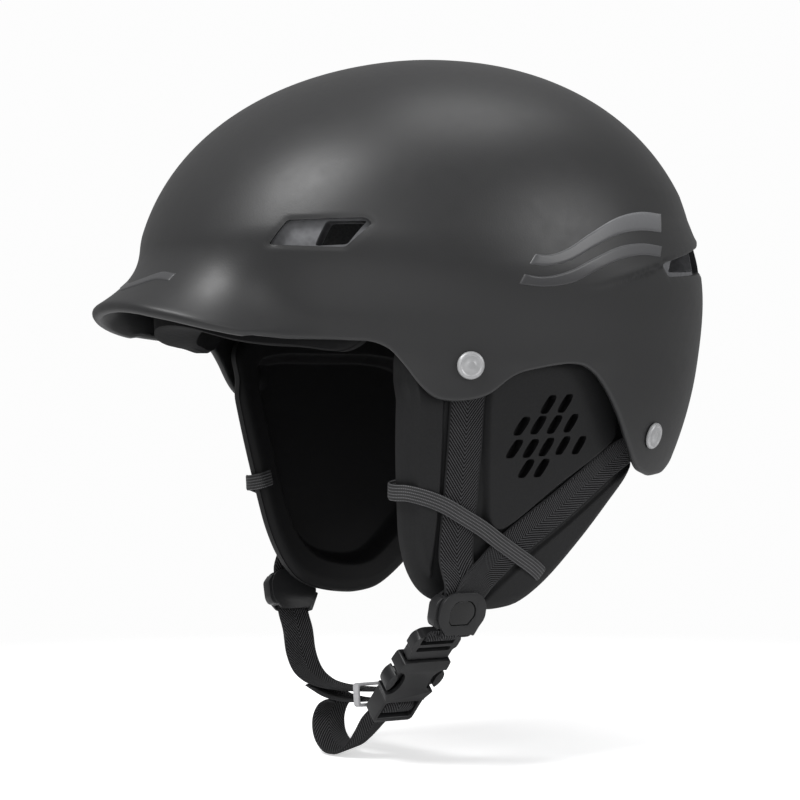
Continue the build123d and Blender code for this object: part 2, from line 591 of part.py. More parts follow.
def buckle_male():
    tail, half = -MALE_LENGTH, MALE_WIDTH / 2
    outline = [
        (tail, -half + 3.4), (tail + 3.4, -half), (-6.0, -half), (-0.6, -half + 1.2),
        (-0.6, half - 1.2), (-6.0, half), (tail + 3.4, half), (tail, half - 3.4)]
    male = plate(BUCKLE, outline, -2.6, 2.6)
    for start, end in MALE_SLOTS:
        male = male - block(BUCKLE, tail + start, tail + end, WEB_SLOT_HALF, 5)
    # central guide tongue
    male = male + block(BUCKLE, -0.8, 21.0, 1.6, 1.6)
    for side in (-1, 1):
        male = male - rod(pivot(side), BUCKLE_OUT, 1.85, -6, 6)
        male = male - plate(BUCKLE, on_side(SOCKET_MOUTH, side), -1.9, 1.9)
    # room for the short web
    return male - path_ribbon(SHORT_PATH, 1.7, WEB_WIDTH + 0.2)


def buckle_prong(side):
    """Arm with a solid hinge disc that turns in the male half's socket."""
    arm = plate(BUCKLE, on_side(PRONG_ARM, side), -PRONG_HALF_THICK, PRONG_HALF_THICK)
    return arm + rod(pivot(side), BUCKLE_OUT, 1.8, -PRONG_HALF_THICK, PRONG_HALF_THICK)


def buckle_female():
    half, face = FEMALE_WIDTH / 2, BUCKLE_THICK / 2
    outline = [
        (0.2, -half), (5.0, -half - 0.3), (22.0, -half), (26.5, -half + 3.0),
        (26.5, half - 3.0), (22.0, half), (5.0, half + 0.3), (0.2, half)]
    side_opening = [
        (7.2, half - 4.6), (10.0, half - 6.2), (18.0, half - 6.2), (20.8, half - 4.6),
        (20.8, half + 3), (7.2, half + 3)]
    female = plate(BUCKLE, outline, -face, face)
    female = female - block(BUCKLE, -2.0, 24.0, half - 1.6, 2.3)
    for side in (-1, 1):
        female = female - plate(BUCKLE, on_side(side_opening, side), -face - 1, face + 1)
    # web loop at the far end, with a bar across it
    loop = block(BUCKLE, 26.0, FEMALE_LENGTH, WEB_WIDTH / 2 + 2.2, face)
    loop = loop - block(BUCKLE, 28.0, FEMALE_LENGTH - 3.0, WEB_SLOT_HALF, face + 1)
    bar = block(BUCKLE, 33.0, 35.2, WEB_WIDTH / 2 + 1.0, 1.4)
    return female + loop + bar


save("buckle_male_frame", buckle_male())
save("buckle_prong_front", buckle_prong(-1))
save("buckle_prong_rear", buckle_prong(1))
save("buckle_female", buckle_female())
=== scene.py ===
"""Helmet with a front brim, foam liner, padding, ear pads, strap webbing and a chin buckle.

+Z is up, the helmet faces -Y and its left side is +X. Lengths are in mm and are turned
into metres by MM when a mesh is made. A place on the helmet is given by phi, the angle
round it from the front (positive towards +X), and its height z. The left ear pad, side
straps and divider are modelled and mirrored; the buckle hangs under the chin.
"""
import math
from typing import NamedTuple
import bmesh
import bpy
import numpy as np
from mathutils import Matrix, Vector


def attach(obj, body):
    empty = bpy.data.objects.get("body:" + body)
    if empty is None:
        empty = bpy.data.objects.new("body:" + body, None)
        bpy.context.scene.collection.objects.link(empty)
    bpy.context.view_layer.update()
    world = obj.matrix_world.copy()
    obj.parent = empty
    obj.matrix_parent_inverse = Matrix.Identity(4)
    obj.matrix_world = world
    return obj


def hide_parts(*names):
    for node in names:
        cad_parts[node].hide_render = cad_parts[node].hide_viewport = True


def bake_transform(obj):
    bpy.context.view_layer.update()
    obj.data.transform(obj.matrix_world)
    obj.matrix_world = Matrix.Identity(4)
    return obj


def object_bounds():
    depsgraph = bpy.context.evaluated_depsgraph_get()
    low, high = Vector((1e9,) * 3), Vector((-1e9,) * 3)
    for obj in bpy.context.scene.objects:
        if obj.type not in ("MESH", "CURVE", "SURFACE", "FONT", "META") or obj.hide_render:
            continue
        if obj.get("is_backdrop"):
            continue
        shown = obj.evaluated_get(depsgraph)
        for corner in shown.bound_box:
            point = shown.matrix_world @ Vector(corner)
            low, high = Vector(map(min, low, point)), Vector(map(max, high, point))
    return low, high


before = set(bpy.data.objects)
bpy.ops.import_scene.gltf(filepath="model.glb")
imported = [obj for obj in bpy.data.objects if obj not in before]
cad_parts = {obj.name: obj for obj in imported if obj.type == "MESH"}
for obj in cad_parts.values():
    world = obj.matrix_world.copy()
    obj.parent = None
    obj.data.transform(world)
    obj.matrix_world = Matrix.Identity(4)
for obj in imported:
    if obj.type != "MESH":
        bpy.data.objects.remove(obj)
cad_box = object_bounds()

MM = 0.001

# ------------------------------------------------------------------ driving dimensions
# Dome sizes: half width, reach to the front, reach to the back, height of the crown
SHELL_SIZE = np.array([109.5, 141, 130.5, 115])
LINER_SIZE = SHELL_SIZE - 4.4
CAVITY_SIZE = np.array([84.0, 112, 104, 96])
DOME_POWERS = 3.2, 2.13, 1.95  # roundness of the width, front and back profiles
PLAN_POWER = 2.15              # superellipse power of the plan view
WIDTH_CURL, BACK_CURL = 0.0020, 0.0035  # how fast the sides and back turn in below z 0
TUCK_MIN_WIDTH = 90            # domes with a larger half width are tucked and pulled in
SIDE_TUCK, BACK_BULGE = 9.0, 2.4
DIAGONAL_PULL = 0.10           # share pulled in at the front quarters
BRIM_REACH, BRIM_SPREAD, BRIM_TOP, BRIM_DEPTH = 26.0, 44.0, 28.0, 27.0

# Lower edge of the shell: degrees from the front, z
RIM = np.array([
    (0, 3.4), (3.5, 3), (7.8, 1.9), (13, -0.3), (16.5, -2), (21.2, -4.9), (26.3, -8.2),
    (29.8, -10.2), (35.2, -11.8), (43.5, -12.2), (52.5, -13), (55, -14.2), (58, -17),
    (61.8, -24.8), (64.2, -31.5), (66.8, -36.5), (68.2, -38), (71.2, -38.8), (75.2, -38),
    (78.2, -35.5), (81, -29.2), (83.5, -26.2), (88.5, -23.8), (92, -22.5), (95.5, -23.2),
    (98.5, -26.8), (101.2, -32.5), (105.2, -42.2), (111, -56.8), (116, -66.5),
    (119.5, -70.8), (126.5, -73.5), (136.5, -72.8), (146.8, -67.5), (152, -64.5),
    (160, -61), (170, -59.2), (180, -58.6)])
# Crease round the rear quarters: degrees from the front, z
CREASE = np.array([(78, 4.0), (96, 9), (106, 14.8), (115, 20.4), (130, 26), (144, 30.6),
                   (160, 34)])
# Side openings: degrees from the front, z
FRONT_VENT = np.array([(30, 26.0), (33.6, 36.3), (50.2, 37.1), (51.7, 34.6), (46.6, 24.7)])
REAR_VENT = np.array([(115, 20.8), (130, 26.5), (144, 31.2), (150, 31.2), (151, 19),
                      (144, 17.6), (130, 15.9), (117.8, 14.6)])
FRONT_CHANNEL = np.array([(40, 25.4), (42, 35.9), (50.4, 35.9), (46.8, 26)])
REAR_CHANNEL = np.array([(120.5, 16.9), (122.5, 22.4), (142, 28.4), (142, 18.4)])
FRONT_VENT_AXIS = np.array((0.79, -0.61, 0.0))
REAR_VENT_AXIS = np.array((0.80, 0.60, 0.0))
VENT_MM_PER_DEGREE = 1.95

# Ear pad surface: x = PAD_X + PAD_LEAN * z - PAD_BOW * (y + PAD_SHIFT) ** 2
PAD_X, PAD_LEAN, PAD_BOW, PAD_SHIFT = 97.0, 0.25, 0.0028, 5.0

STRAP_Y = -33.0                # the buckle and chin webbing hang in this plane
CHIN_WEB_WIDTH = 16.4
RIVETS = (73.8, -24.5), (120.2, -55.8)  # degrees from the front, z


# ------------------------------------------------------------------ numbers and curves
def smoothstep(low, high, value):
    t = np.clip((value - low) / (high - low), 0, 1)
    return t * t * (3 - 2 * t)


def unit(vectors, tiny=1e-9):
    """Rows scaled to length one; tiny keeps empty rows finite."""
    return vectors / (np.linalg.norm(vectors, axis=-1, keepdims=True) + tiny)


def direction(vector):
    vector = np.asarray(vector, float)
    return vector / np.linalg.norm(vector)


Y_AXIS = np.array([0, 1.0, 0])


class Frame(NamedTuple):
    """A local origin and three axes."""
    origin: np.ndarray
    x: np.ndarray
    y: np.ndarray
    z: np.ndarray

    def at(self, x, y, z):
        return self.origin + self.x * x + self.y * y + self.z * z


# x across the webbing, y down it, z outwards
DIVIDER = Frame(np.array([71.0, STRAP_Y, -131]), Y_AXIS,
                direction((-0.25, 0, -1.0)), direction((1.0, 0, -0.25)))
# Origin at the mouth of the buckle, x into the female half, z through its thickness
BUCKLE = Frame(np.array([44.7, STRAP_Y, -152]), direction((-0.7120, 0, -0.7022)),
               Y_AXIS, direction((0.7022, 0, -0.7120)))


def path_lengths(points):
    steps = np.linalg.norm(np.diff(points, axis=0), axis=1)
    return np.concatenate([[0], np.cumsum(steps)])


def interpolate_rows(query, lengths, points):
    return np.stack([np.interp(query, lengths, column) for column in points.T], -1)


def resample(points, count, closed=False):
    """Evenly spaced points along a path."""
    points = np.asarray(points, float)
    if closed:
        points = np.vstack([points, points[:1]])
    lengths = path_lengths(points)
    if closed:
        query = np.linspace(0, lengths[-1], count + 1)[:-1]
    else:
        query = np.linspace(0, lengths[-1], count)
    return interpolate_rows(query, lengths, points)


def catmull(points, per_span, closed=False):
    """Centripetal Catmull-Rom curve through the points."""
    P = np.asarray(points, float)
    n = len(P)
    curve = []
    for i in range(n if closed else n - 1):
        p1 = P[i]
        p2 = P[(i + 1) % n]
        p0 = P[(i - 1) % n] if (closed or i > 0) else 2 * p1 - p2
        p3 = P[(i + 2) % n] if (closed or i + 2 < n) else 2 * p2 - p1
        k01, k12, k23 = (max(np.linalg.norm(b - a), 1e-6) ** 0.5
                         for a, b in ((p0, p1), (p1, p2), (p2, p3)))
        m1 = (p2 - p1) + k12 * ((p1 - p0) / k01 - (p2 - p0) / (k01 + k12))
        m2 = (p2 - p1) + k12 * ((p3 - p2) / k23 - (p3 - p1) / (k12 + k23))
        for k in range(per_span):
            t = k / per_span
            t2, t3 = t * t, t * t * t
            curve.append((2 * t3 - 3 * t2 + 1) * p1 + (t3 - 2 * t2 + t) * m1
                         + (-2 * t3 + 3 * t2) * p2 + (t3 - t2) * m2)
    if not closed:
        curve.append(P[-1])
    return np.array(curve)


def corner_arc(start, corner, end, count):
    """Quadratic curve that replaces a corner."""
    return [(1 - t) ** 2 * start + 2 * t * (1 - t) * corner + t * t * end
            for t in np.linspace(0, 1, count)]


def round_polygon(points, radius, count=5):
    """2-D polygon with rounded corners; radius is one value or one per corner."""
    P = np.asarray(points, float)
    n = len(P)
    outline = []
    for i, reach in enumerate(np.broadcast_to(radius, n)):
        corner = P[i]
        back = P[i - 1] - corner
        ahead = P[(i + 1) % n] - corner
        back_length, ahead_length = np.linalg.norm(back), np.linalg.norm(ahead)
        back /= back_length
        ahead /= ahead_length
        reach = min(reach, back_length * 0.48, ahead_length * 0.48)
        outline += corner_arc(corner + back * reach, corner, corner + ahead * reach, count)
    return np.array(outline)


def segment_distance(px, py, start, end, tiny=0.0):
    (ax, ay), (bx, by) = start, end
    ex, ey = bx - ax, by - ay
    t = np.clip(((px - ax) * ex + (py - ay) * ey) / (ex * ex + ey * ey + tiny), 0, 1)
    return np.hypot(px - ax - t * ex, py - ay - t * ey)


def path_distance(px, py, path):
    distance = np.full(px.shape, 1e9)
    for start, end in zip(path[:-1], path[1:]):
        distance = np.minimum(distance, segment_distance(px, py, start, end))
    return distance


def polygon_distance(px, py, polygon):
    """Signed distance to a closed polygon, negative inside."""
    distance = np.full(px.shape, 1e9)
    inside = np.zeros(px.shape, bool)
    for start, end in zip(polygon, np.roll(polygon, -1, axis=0)):
        distance = np.minimum(distance, segment_distance(px, py, start, end, 1e-12))
        (ax, ay), (bx, by) = start, end
        crossing = px < (bx - ax) * (py - ay) / (by - ay + 1e-12) + ax
        inside ^= ((ay > py) != (by > py)) & crossing
    return np.where(inside, -distance, distance)


def round_over(edge, radius):
    """Drop of a rounded border at a distance inside its edge."""
    edge = np.clip(edge, 0, radius)
    return radius - np.sqrt(np.maximum(radius * radius - (radius - edge) ** 2, 0))


# ------------------------------------------------------------------ helmet surfaces
def front_angle(phi):
    """Degrees away from the front, 0 to 180 on either side."""
    return np.abs(np.degrees(np.arctan2(np.sin(phi), np.cos(phi))))


def rim_height(phi):
    """RIM blurred over about a degree."""
    step, blur, pad = 0.25, 0.9, 16
    grid = np.arange(0, 180.01, step)
    z = np.interp(grid, *RIM.T)
    kernel = np.exp(-0.5 * (np.arange(-pad, pad + 1) * step / blur) ** 2)
    kernel /= kernel.sum()
    reflected = np.concatenate([z[pad:0:-1], z, z[-2:-pad - 2:-1]])
    return np.interp(front_angle(phi), grid, np.convolve(reflected, kernel, mode="valid"))


def dome_reaches(z, size):
    """Half width and reach to the front and back at height z."""
    climb = np.clip(z / size[3], 0, 1)
    width, front, back = (reach * np.sqrt(np.maximum(1 - climb ** power, 0))
                          for reach, power in zip(size, DOME_POWERS))
    below = np.minimum(z, 0)
    width = width - WIDTH_CURL * below * below
    back = back - BACK_CURL * below * below
    if size[0] > TUCK_MIN_WIDTH:
        tuck = smoothstep(0, 45, 20 - z)
        width = width - SIDE_TUCK * tuck
        back = back + BACK_BULGE * tuck
    return width, front, back


def dome(phi, z, size=SHELL_SIZE, flare=1.0):
    """Points of a smooth dome at angle phi (radians); flare scales the brim."""
    phi = np.asarray(phi, float)
    z = np.asarray(z, float)
    width, front, back = dome_reaches(z, size)
    cosine, sine = np.cos(phi), np.sin(phi)
    x = width * np.sign(sine) * np.abs(sine) ** (2 / PLAN_POWER)
    along = np.abs(cosine) ** (2 / PLAN_POWER)
    y = np.where(cosine >= 0, -front * along, back * along)
    angle = front_angle(phi)
    if size[0] > TUCK_MIN_WIDTH:
        quarter = np.where(angle < 90, np.sin(2 * np.radians(angle)) ** 2, 0)
        pull = 1 - DIAGONAL_PULL * smoothstep(0, 40, 35 - z) * quarter
        x = x * pull
        y = y * pull
    brim = flare * BRIM_REACH * (1 - smoothstep(0, BRIM_SPREAD, angle))
    push = brim * np.clip((BRIM_TOP - z) / BRIM_DEPTH, 0, 1.4) ** 2
    radius = np.hypot(x, y) + 1e-9
    return np.stack([x + push * x / radius, y + push * y / radius, z], -1)


def shell_point(phi, z):
    """Outer surface with its rear crease, flattened quarters and eased vent edges."""
    points = dome(phi, z)
    angle = front_angle(phi)
    outward = unit(points[..., :2])
    crease = np.interp(angle, *CREASE.T)
    fade = smoothstep(88, 108, angle) * (1 - 0.75 * smoothstep(146, 168, angle))
    below = 1 - smoothstep(-0.9, 0.7, z - crease)
    dip = -1.5 * fade * below * np.exp(-np.maximum(crease - z, 0) / 17.0)
    lip = 0.55 * fade * np.exp(-((z - crease - 1.2) / 2.6) ** 2)
    quarter = smoothstep(100, 120, angle) * (1 - smoothstep(166, 178, angle))
    flat = -1.0 * quarter * np.clip(1 - np.abs((z - 42.0) / 11.0), 0, 1) ** 0.8
    offset = dip + lip + flat
    for vent in (FRONT_VENT, REAR_VENT):
        distance = polygon_distance(angle * VENT_MM_PER_DEGREE, z,
                                    vent * np.array([VENT_MM_PER_DEGREE, 1.0]))
        offset = offset - 0.6 * (1 - smoothstep(0.0, 1.7, distance))
    points[..., :2] += outward * offset[..., None]
    return points


def surface_cross(surface, phi, z, phi_step, z_step):
    """Unscaled normal of a surface, by central differences."""
    return np.cross(surface(phi + phi_step, z) - surface(phi - phi_step, z),
                    surface(phi, z + z_step) - surface(phi, z - z_step))


def shell_normal(phi, z):
    return unit(surface_cross(shell_point, phi, z, 0.004, 0.4), 1e-12)


def face_outward(normals, points, min_z):
    away = np.stack([points[..., 0], points[..., 1], np.maximum(points[..., 2], min_z)], -1)
    return normals * np.sign((normals * away).sum(-1))[..., None]


def rising_heights(rim, height, count, reach):
    """Heights from the rim to near the crown, evenly spaced in angle."""
    start = np.arcsin(np.clip(rim / height, -0.99, 0.99))[:, None]
    angles = start + (np.pi / 2 * reach - start) * np.linspace(0, 1, count)[None, :]
    return height * np.sin(angles)


def pad_x(y, z):
    return PAD_X + PAD_LEAN * z - PAD_BOW * (y + PAD_SHIFT) ** 2


def on_pad(y, z, offset):
    """Point at an offset outwards from the ear pad surface."""
    return np.stack([pad_x(y, z) + offset, y, z], -1)


# ------------------------------------------------------------------ meshes
def shade_smooth(obj):
    polygons = obj.data.polygons
    polygons.foreach_set("use_smooth", np.ones(len(polygons), bool))


def link_object(name, mesh):
    obj = bpy.data.objects.new(name, mesh)
    bpy.context.scene.collection.objects.link(obj)
    return obj


def mesh_object(name, points, faces, material, smooth=True, uv=None):
    mesh = bpy.data.meshes.new(name)
    mesh.from_pydata([tuple(p) for p in np.asarray(points) * MM], [],
                     [tuple(int(i) for i in face) for face in faces])
    mesh.validate()
    mesh.update()
    if uv is not None:
        layer = mesh.uv_layers.new(name="UVMap")
        index = np.empty(len(mesh.loops), int)
        mesh.loops.foreach_get("vertex_index", index)
        layer.data.foreach_set("uv", np.asarray(uv, float)[index].ravel())
    obj = link_object(name, mesh)
    if material is not None:
        mesh.materials.append(material)
    if smooth:
        shade_smooth(obj)
    return obj


def fix_normals(obj):
    bm = bmesh.new()
    bm.from_mesh(obj.data)
    bmesh.ops.recalc_face_normals(bm, faces=bm.faces)
    bm.to_mesh(obj.data)
    bm.free()
    return obj


def solid(*args, **options):
    """mesh_object with its faces turned outwards."""
    return fix_normals(mesh_object(*args, **options))


def grid_faces(rows, columns, wrap=True):
    faces = []
    for i in range(rows - 1):
        for j in range(columns if wrap else columns - 1):
            k = (j + 1) % columns
            faces.append((i * columns + j, i * columns + k,
                          (i + 1) * columns + k, (i + 1) * columns + j))
    return faces


def capped_rings(name, rings, first_tip, last_tip, material):
    """Solid through a stack of closed rings, fanned to a tip at each end."""
    count = len(rings[0])
    points = np.array(rings).reshape(-1, 3)
    faces = grid_faces(len(rings), count)
    tip = len(points)
    last = (len(rings) - 1) * count
    for j in range(count):
        k = (j + 1) % count
        faces += [(tip, k, j), (tip + 1, last + j, last + k)]
    return solid(name, np.vstack([points, first_tip, last_tip]), faces, material)


def prism(name, outline, sweep, material=None):
    """Solid from a closed 3-D outline moved along a vector."""
    start = np.asarray(outline, float)
    n = len(start)
    faces = [tuple(range(n - 1, -1, -1)), tuple(range(n, 2 * n))]
    faces += [(i, (i + 1) % n, n + (i + 1) % n, n + i) for i in range(n)]
    points = np.vstack([start, start + np.asarray(sweep, float)])
    return solid(name, points, faces, material, smooth=False)


def apply_modifiers(obj):
    depsgraph = bpy.context.evaluated_depsgraph_get()
    mesh = bpy.data.meshes.new_from_object(
        obj.evaluated_get(depsgraph), preserve_all_data_layers=True, depsgraph=depsgraph)
    obj.modifiers.clear()
    old = obj.data
    obj.data = mesh
    bpy.data.meshes.remove(old)


def remove_object(obj):
    mesh = obj.data
    bpy.data.objects.remove(obj)
    bpy.data.meshes.remove(mesh)


def cut(obj, cutters):
    for cutter in cutters:
        modifier = obj.modifiers.new("cut", "BOOLEAN")
        modifier.operation = "DIFFERENCE"
        modifier.object = cutter
        modifier.solver = "EXACT"
    bpy.context.view_layer.update()
    apply_modifiers(obj)
    for cutter in cutters:
        remove_object(cutter)


def smooth_by_angle(obj, degrees):
    """Smooth shading with sharp edges above an angle."""
    shade_smooth(obj)
    bm = bmesh.new()
    bm.from_mesh(obj.data)
    limit = math.radians(degrees)
    for edge in bm.edges:
        edge.smooth = not (len(edge.link_faces) == 2 and edge.calc_face_angle(0) > limit)
    bm.to_mesh(obj.data)
    bm.free()


def bevel(obj, width, angle=30, segments=3):
    modifier = obj.modifiers.new("bev", "BEVEL")
    modifier.width = width * MM
    modifier.segments = segments
    modifier.limit_method = "ANGLE"
    modifier.angle_limit = math.radians(angle)
    apply_modifiers(obj)
    smooth_by_angle(obj, 50)


def join(name, objects, sharp_angle=None):
    """One object from several, with the materials of the first."""
    bm = bmesh.new()
    for obj in objects:
        bm.from_mesh(obj.data)
    mesh = bpy.data.meshes.new(name)
    bm.to_mesh(mesh)
    bm.free()
    for material in objects[0].data.materials:
        mesh.materials.append(material)
    joined = link_object(name, mesh)
    for obj in objects:
        remove_object(obj)
    if sharp_angle is not None:
        smooth_by_angle(joined, sharp_angle)
    return joined


def coordinates(mesh):
    points = np.empty(len(mesh.vertices) * 3)
    mesh.vertices.foreach_get("co", points)
    return points.reshape(-1, 3)


def mirrored(obj):
    """Copy on the other side of x = 0; 'left' in its name becomes 'right'."""
    name = obj.name.replace("left", "right")
    mesh = obj.data.copy()
    mesh.name = name
    points = coordinates(mesh)
    points[:, 0] *= -1
    mesh.vertices.foreach_set("co", points.ravel())
    mesh.flip_normals()
    copy = link_object(name, mesh)
    mesh.update()
    return copy


def both_sides(obj):
    """The left object and its mirrored copy, each with side name and sign of x."""
    return (obj, "left", 1), (mirrored(obj), "right", -1)


def plate(frame, outline, low, high, material=None, edge=0, segments=3, name="part"):
    """Flat part: an outline in a frame's x and y, from low to high along its z."""
    obj = prism(name, [frame.at(x, y, low) for x, y in np.array(outline, float)],
                frame.z * (high - low), material)
    if edge > 0:
        bevel(obj, edge, segments=segments)
    return obj


def rectangle(x0, x1, half_height):
    return [(x0, -half_height), (x1, -half_height), (x1, half_height), (x0, half_height)]


def lathe(point, axis, profile, material, segments=48):
    """Turned part; the profile holds (radius, height along the axis)."""
    axis = direction(axis)
    a = direction(np.cross(axis, (0.1, 0.3, 0.95)))
    b = np.cross(axis, a)
    points = []
    for radius, height in profile:
        for k in range(segments):
            t = 2 * math.pi * k / segments
            spoke = a * math.cos(t) + b * math.sin(t)
            points.append(point + axis * height + spoke * radius)
    faces = grid_faces(len(profile), segments)
    faces += [tuple(range(segments)), tuple(range(len(points) - segments, len(points)))]
    return solid("turned", np.array(points), faces, material)


def register(obj, body, part, slot):
    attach(obj, body)
    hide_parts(part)


# ------------------------------------------------------------------ shader building
BLACK, WHITE = (0, 0, 0), (1, 1, 1)


class Signal:
    """One output socket; arithmetic on it adds Math nodes."""

    def __init__(self, nodes, socket):
        self.nodes = nodes
        self.socket = socket

    def op(self, operation, *others):
        operands = dict(enumerate((self, *others)))
        return self.nodes.add("Math", operands, operation=operation)

    def __add__(self, other):
        return self.op("ADD", other)

    def __sub__(self, other):
        return self.op("SUBTRACT", other)

    def __rsub__(self, other):
        return self.nodes.add("Math", {0: other, 1: self}, operation="SUBTRACT")

    def __mul__(self, other):
        return self.op("MULTIPLY", other)

    def times_plus(self, factor, offset):
        return self.op("MULTIPLY_ADD", factor, offset)

    def wave(self, cycles):
        """Sine wave scaled to 0..1."""
        return (self * (2 * math.pi * cycles)).op("SINE").times_plus(0.5, 0.5)


class Nodes:
    """Emptied node tree of a material or world; node inputs take values or signals."""

    def __init__(self, owner):
        owner.use_nodes = True
        self.owner = owner
        self.tree = owner.node_tree
        self.tree.nodes.clear()
        self.object_coords = None

    def add(self, kind, inputs=None, output=0, **settings):
        node = self.tree.nodes.new("ShaderNode" + kind)
        for key, value in settings.items():
            setattr(node, key, value)
        for key, value in (inputs or {}).items():
            if isinstance(value, Signal):
                self.tree.links.new(value.socket, node.inputs[key])
            else:
                node.inputs[key].default_value = value
        return Signal(self, node.outputs[output])

    def coords(self):
        if self.object_coords is None:
            self.object_coords = self.add("TexCoord", output="Object")
        return self.object_coords

    def split(self, vector):
        x = self.add("SeparateXYZ", {0: vector})
        return [Signal(self, socket) for socket in x.socket.node.outputs]

    def web_coords(self):
        """UV map: u across the webbing, v along it in strap widths."""
        return self.split(self.add("UVMap", uv_map="UVMap"))[:2]

    def noise(self, scale, detail, roughness=0.5):
        return self.add("TexNoise", {"Scale": scale, "Detail": detail, "Roughness": roughness,
                                     "Vector": self.coords()}, output="Fac")

    def cells(self, scale, vector):
        return self.add("TexVoronoi", {"Scale": scale, "Vector": vector}, output="Distance")

    def map_range(self, value, low, high, **settings):
        return self.add("MapRange", {0: value, 1: low, 2: high}, **settings)

    def ramp(self, factor, stops):
        """Colour ramp through (position, colour) stops."""
        ramp = self.add("ValToRGB", {0: factor})
        elements = ramp.socket.node.color_ramp.elements
        for element, (position, colour) in zip(elements, (stops[0], stops[-1])):
            element.position = position
            element.color = (*colour, 1)
        for position, colour in stops[1:-1]:
            elements.new(position).color = (*colour, 1)
        return ramp

    def mix(self, factor, first, second):
        return self.add("Mix", {"Factor": factor, 6: first, 7: second}, output=2,
                        data_type="RGBA")

    def bump(self, height, strength, distance):
        return self.add("Bump", {"Strength": strength, "Distance": distance,
                                 "Height": height})

    def finish(self, shader, kind="OutputMaterial"):
        output = self.tree.nodes.new("ShaderNode" + kind)
        self.tree.links.new(shader.socket, output.inputs[0])
        return self.owner

    def principled(self, inputs):
        return self.finish(self.add("BsdfPrincipled", inputs))


def material_nodes(name):
    return Nodes(bpy.data.materials.new(name))


# ------------------------------------------------------------------ materials
def plastic(name, colour, *, roughness, grain, bump, specular, variation, wear):
    """Moulded plastic: fine grain, slow tone drift and lighter worn edges."""
    nodes = material_nodes(name)
    colour = np.array(colour)
    fine = nodes.noise(scale=grain, detail=3, roughness=0.6)
    drift = nodes.noise(scale=14, detail=4, roughness=0.55)
    smudge = nodes.noise(scale=120, detail=5, roughness=0.7)
    tone = nodes.ramp(drift, [(0.3, colour * (1 - variation)),
                              (0.7, colour * (1 + variation))])
    edges = nodes.ramp(nodes.add("NewGeometry", output="Pointiness"),
                       [(0.50, BLACK), (0.56, WHITE)])
    worn = (*np.clip(colour * 1.9 + 0.01, 0, 1), 1)
    return nodes.principled({
        "Base Color": nodes.mix(edges * wear, tone, worn),
        "Roughness": smudge.times_plus(0.14, roughness - 0.07),
        "Specular IOR Level": specular,
        "Normal": nodes.bump(fine, strength=bump, distance=0.0004)})


def webbing(name):
    """Herringbone webbing with plain selvedges."""
    nodes = material_nodes(name)
    dark, light = (0.0022, 0.0022, 0.0025), (0.060, 0.060, 0.063)
    u, v = nodes.web_coords()
    from_middle = (u - 0.5).op("ABSOLUTE")
    ribs = (v * 9.0 + from_middle * 13.0).wave(1)
    warp = u.wave(26)
    fuzz = nodes.noise(scale=1500, detail=3)
    slow = nodes.noise(scale=60, detail=2)
    weave = ribs * 0.75 + (warp * ribs) * 0.35
    selvedge = from_middle.op("GREATER_THAN", 0.455)
    height = (weave * (1.0 - selvedge) + selvedge * 0.55) + fuzz * 0.22
    middle = np.array(dark) * 0.5 + np.array(light) * 0.30
    return nodes.principled({
        "Base Color": nodes.ramp(height + slow * 0.25,
                                 [(0.50, dark), (0.80, middle), (1.0, light)]),
        "Roughness": 0.75,
        "Specular IOR Level": 0.15,
        "Sheen Weight": 0.02,
        "Sheen Roughness": 0.4,
        "Normal": nodes.bump(height, strength=0.85, distance=0.00035)})


def elastic(name):
    """Elastic band with light lines along it and faint cross ribs."""
    nodes = material_nodes(name)
    u, v = nodes.web_coords()
    height = u.wave(5.5) * 0.8 + v.wave(9) * 0.2
    return nodes.principled({
        "Base Color": nodes.ramp(height, [(0.45, (0.008, 0.008, 0.0085)),
                                          (0.78, (0.022, 0.022, 0.024)),
                                          (0.95, (0.13, 0.13, 0.135))]),
        "Roughness": 0.62,
        "Sheen Weight": 0.02,
        "Normal": nodes.bump(height, strength=0.7, distance=0.0003)})


def liner_unshaded_share(nodes):
    """1 where the liner shows its grey foam, 0 where its low part takes near-black painted
    shade.
    """
    # painted shade below about z 12 mm, blended over 3 mm either side
    level, blend = 12, 3
    z = nodes.split(nodes.coords())[2]
    return nodes.map_range(z, (level - blend) * MM, (level + blend) * MM)


def pad_unshaded_share(nodes):
    """0, for painted shade, on the ear pad's inner side and deep inside an oval round its
    slots.
    """
    # painted shade: recesses over 0.9 mm below the pad surface inside the oval, and faces
    # turned inwards
    oval_y, oval_z, half_y, half_z = 6.0, -55.5, 27, 21
    depth = -0.9
    x, y, z = nodes.split(nodes.coords())
    distance = x.op("ABSOLUTE") * 1000.0
    shifted_y = y.times_plus(1000.0, PAD_SHIFT)
    surface = z.times_plus(PAD_LEAN * 1000, PAD_X) - (shifted_y * shifted_y) * PAD_BOW
    deep = (distance - surface).op("LESS_THAN", depth)
    v = y.times_plus(1000.0 / half_y, -oval_y / half_y)
    w = z.times_plus(1000.0 / half_z, -oval_z / half_z)
    near = (v * v + w * w).op("LESS_THAN", 1.0)
    normal_x = nodes.split(nodes.add("NewGeometry", output="Normal"))[0]
    inner = (normal_x * x.op("SIGN")).op("LESS_THAN", 0.0)
    return 1.0 - (deep * near).op("MAXIMUM", inner)


def foam(name, colour, unshaded_share, *, cell_scale, roughness, bump, specular):
    """Foam skin with fine cells and mottling, turned to near-black painted shade where the
    share function gives 0.
    """
    nodes = material_nodes(name)
    colour = np.array(colour)
    cells = nodes.cells(cell_scale, nodes.coords())
    mottle = nodes.noise(scale=28, detail=4)
    fine = nodes.noise(scale=900, detail=2)
    tone = nodes.ramp(mottle * 0.7 + cells * 0.5,
                      [(0.3, colour * 0.86), (0.85, colour * 1.14)])
    # painted shade: near-black colour standing in for shadow in recesses and low parts
    painted_shade_colour = (0.0045, 0.0045, 0.005, 1)
    return nodes.principled({
        "Base Color": nodes.mix(unshaded_share(nodes), painted_shade_colour, tone),
        "Roughness": roughness,
        "Specular IOR Level": specular,
        "Normal": nodes.bump(cells + fine * 0.3, strength=bump, distance=0.0003)})


